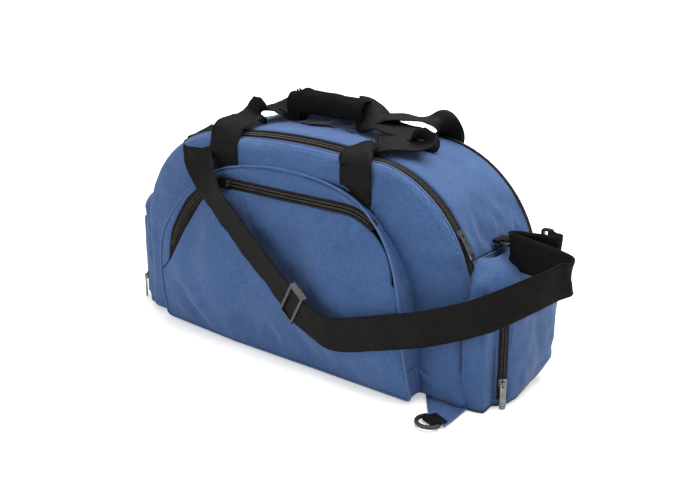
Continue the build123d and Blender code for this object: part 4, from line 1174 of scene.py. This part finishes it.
path = np.vstack([
    smooth_path([
        LEFT_EYE + LEFT_WAY * 8, (-206, -10, 229), (-186, -34, 235), (-165, -58, 241),
        (-140, -84, 229), (-112, -103, 208), (-80, -114, 183), RUN_TOP,
    ], 110),
    RUN_TOP + np.linspace(0, 1, 50)[1:, None] * (RUN_END - RUN_TOP),
    smooth_path([
        RUN_END, (86, -132, 71), (112, -130, 67), (164, -126, 81), (223, -112, 97),
        (275, -92, 118), (312, -66, 140), (331, -38, 151), (336, -30, 154), (331, -25, 157),
        (306, -22, 161), (280, -21, 164), (263, -20, 165), (259, -17, 166), (264, -14, 167),
        (284, -12, 168), (306, -8, 168), (311, -3, 168.5), RIGHT_EYE + (8, 0, 0),
    ], 260)[1:],
])
last = len(path) - 1
lies = (
    (0, (0, 1, 0)), (30, (0.35, 0.85, 0.4)), (60, (0.5, 0.5, 0.7)), (88, RUN_WIDE), (160, RUN_WIDE),
    (190, UPRIGHT), (220, UPRIGHT), (260, (0, 0.05, 1)), (300, (0.1, 0, 1)), (350, UPRIGHT), (last, UPRIGHT),
)
marks = np.array([mark for mark, _ in lies])
wides = np.array([wide for _, wide in lies], float)
strap = webbing(Parts(), path, unit(sample(wides, marks, np.arange(last + 1))), seed=20.0, wave=1.9, curl=0.5)
for eye, way, span in ((LEFT_EYE, LEFT_WAY, (0, 1, 0)), (RIGHT_EYE, np.array(LEVEL), UPRIGHT)):
    path = round_bar(eye, way, np.cross(way, span), (9, 7, 5), (5, 7, 9))
    webbing(strap, path, span, width=WEB_W - 0.6, cols=7, wave=0.1)
strap.object("shoulder_strap_webbing", "shoulder_strap", "webbing")

# ---- carried-over metal

FINISHES = {
    "base_pad": FOAM,
    "base_board": BOARD,
    "strap_adjuster": BLACK_PLASTIC,
    "front_corner_ring": BLACK_PLASTIC,
}
for name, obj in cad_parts.items():
    if obj.hide_render:
        continue
    metal = ENAMEL if "ring" in name or "hook" in name else GUNMETAL
    obj.data.materials.clear()
    obj.data.materials.append(FINISHES.get(name, metal))

# ---- studio and view

FLOOR_HALF = 8
corners = [(x * FLOOR_HALF, y * FLOOR_HALF, 0) for x, y in ((-1, -1), (1, -1), (1, 1), (-1, 1))]
floor_mesh = bpy.data.meshes.new("floor")
floor_mesh.from_pydata(corners, [], [(0, 1, 2, 3)])
floor = bpy.data.objects.new("floor", floor_mesh)
floor.location.z = -0.0004
scene.collection.objects.link(floor)
paint, tree, shader = node_tree("floor_paint")
set_inputs(shader, Base_Color=(0.92, 0.92, 0.92, 1), Roughness=0.9, Emission_Color=(1, 1, 1, 1))
far_out = add_node(tree, "VectorMath")
far_out.operation = "LENGTH"
tree.links.new(add_node(tree, "TexCoord").outputs["Object"], far_out.inputs[0])
fade = add_node(tree, "MapRange", From_Min=0.5, From_Max=3.0, To_Min=0.45, To_Max=1.2)
tree.links.new(far_out.outputs["Value"], fade.inputs["Value"])
seen = add_node(tree, "LightPath")
glow = math_node(tree, "MULTIPLY", seen.outputs["Is Camera Ray"], fade.outputs[0])
tree.links.new(glow, shader.inputs["Emission Strength"])
floor_mesh.materials.append(paint)
floor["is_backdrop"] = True

world = bpy.data.worlds.new("studio")
world.use_nodes = True
tree = world.node_tree
sky = tree.nodes["Background"]
sky.inputs[0].default_value = (1, 1, 1, 1)
seen = add_node(tree, "LightPath")
strength = add_node(tree, "MapRange", To_Min=0.30, To_Max=1.15)
tree.links.new(seen.outputs["Is Camera Ray"], strength.inputs["Value"])
tree.links.new(strength.outputs[0], sky.inputs[1])
scene.world = world


def aim(obj, place, target):
    obj.location = place
    obj.rotation_euler = (Vector(target) - Vector(place)).to_track_quat("-Z", "Y").to_euler()
    scene.collection.objects.link(obj)


for name, place, target, size, power in (
    ("top_soft", (0.25, 0.35, 1.9), (0, 0, 0.1), (2.2, 1.6), 66),
    ("right_soft", (2.0, -0.1, 1.1), (0.1, 0, 0.12), (1.2, 1.4), 5),
    ("front_soft", (-0.6, -2.0, 1.2), (0, 0, 0.12), (1.6, 1.2), 11),
    ("low_soft", (-0.5, -1.7, 0.25), (0, 0, 0.02), (1.8, 0.4), 7),
):
    light = bpy.data.lights.new(name, "AREA")
    light.shape = "RECTANGLE"
    light.size, light.size_y = size
    light.energy = power
    lamp = bpy.data.objects.new(name, light)
    aim(lamp, place, target)
    lamp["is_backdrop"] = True

camera_data = bpy.data.cameras.new("camera")
camera_data.lens = 56.57
camera_data.sensor_width = 36
camera = bpy.data.objects.new("camera", camera_data)
aim(camera, (0.8124, -0.9921, 0.5271), (0.0289, 0, 0.1139))
scene.camera = camera
scene.view_settings.view_transform = "Standard"

low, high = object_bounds()
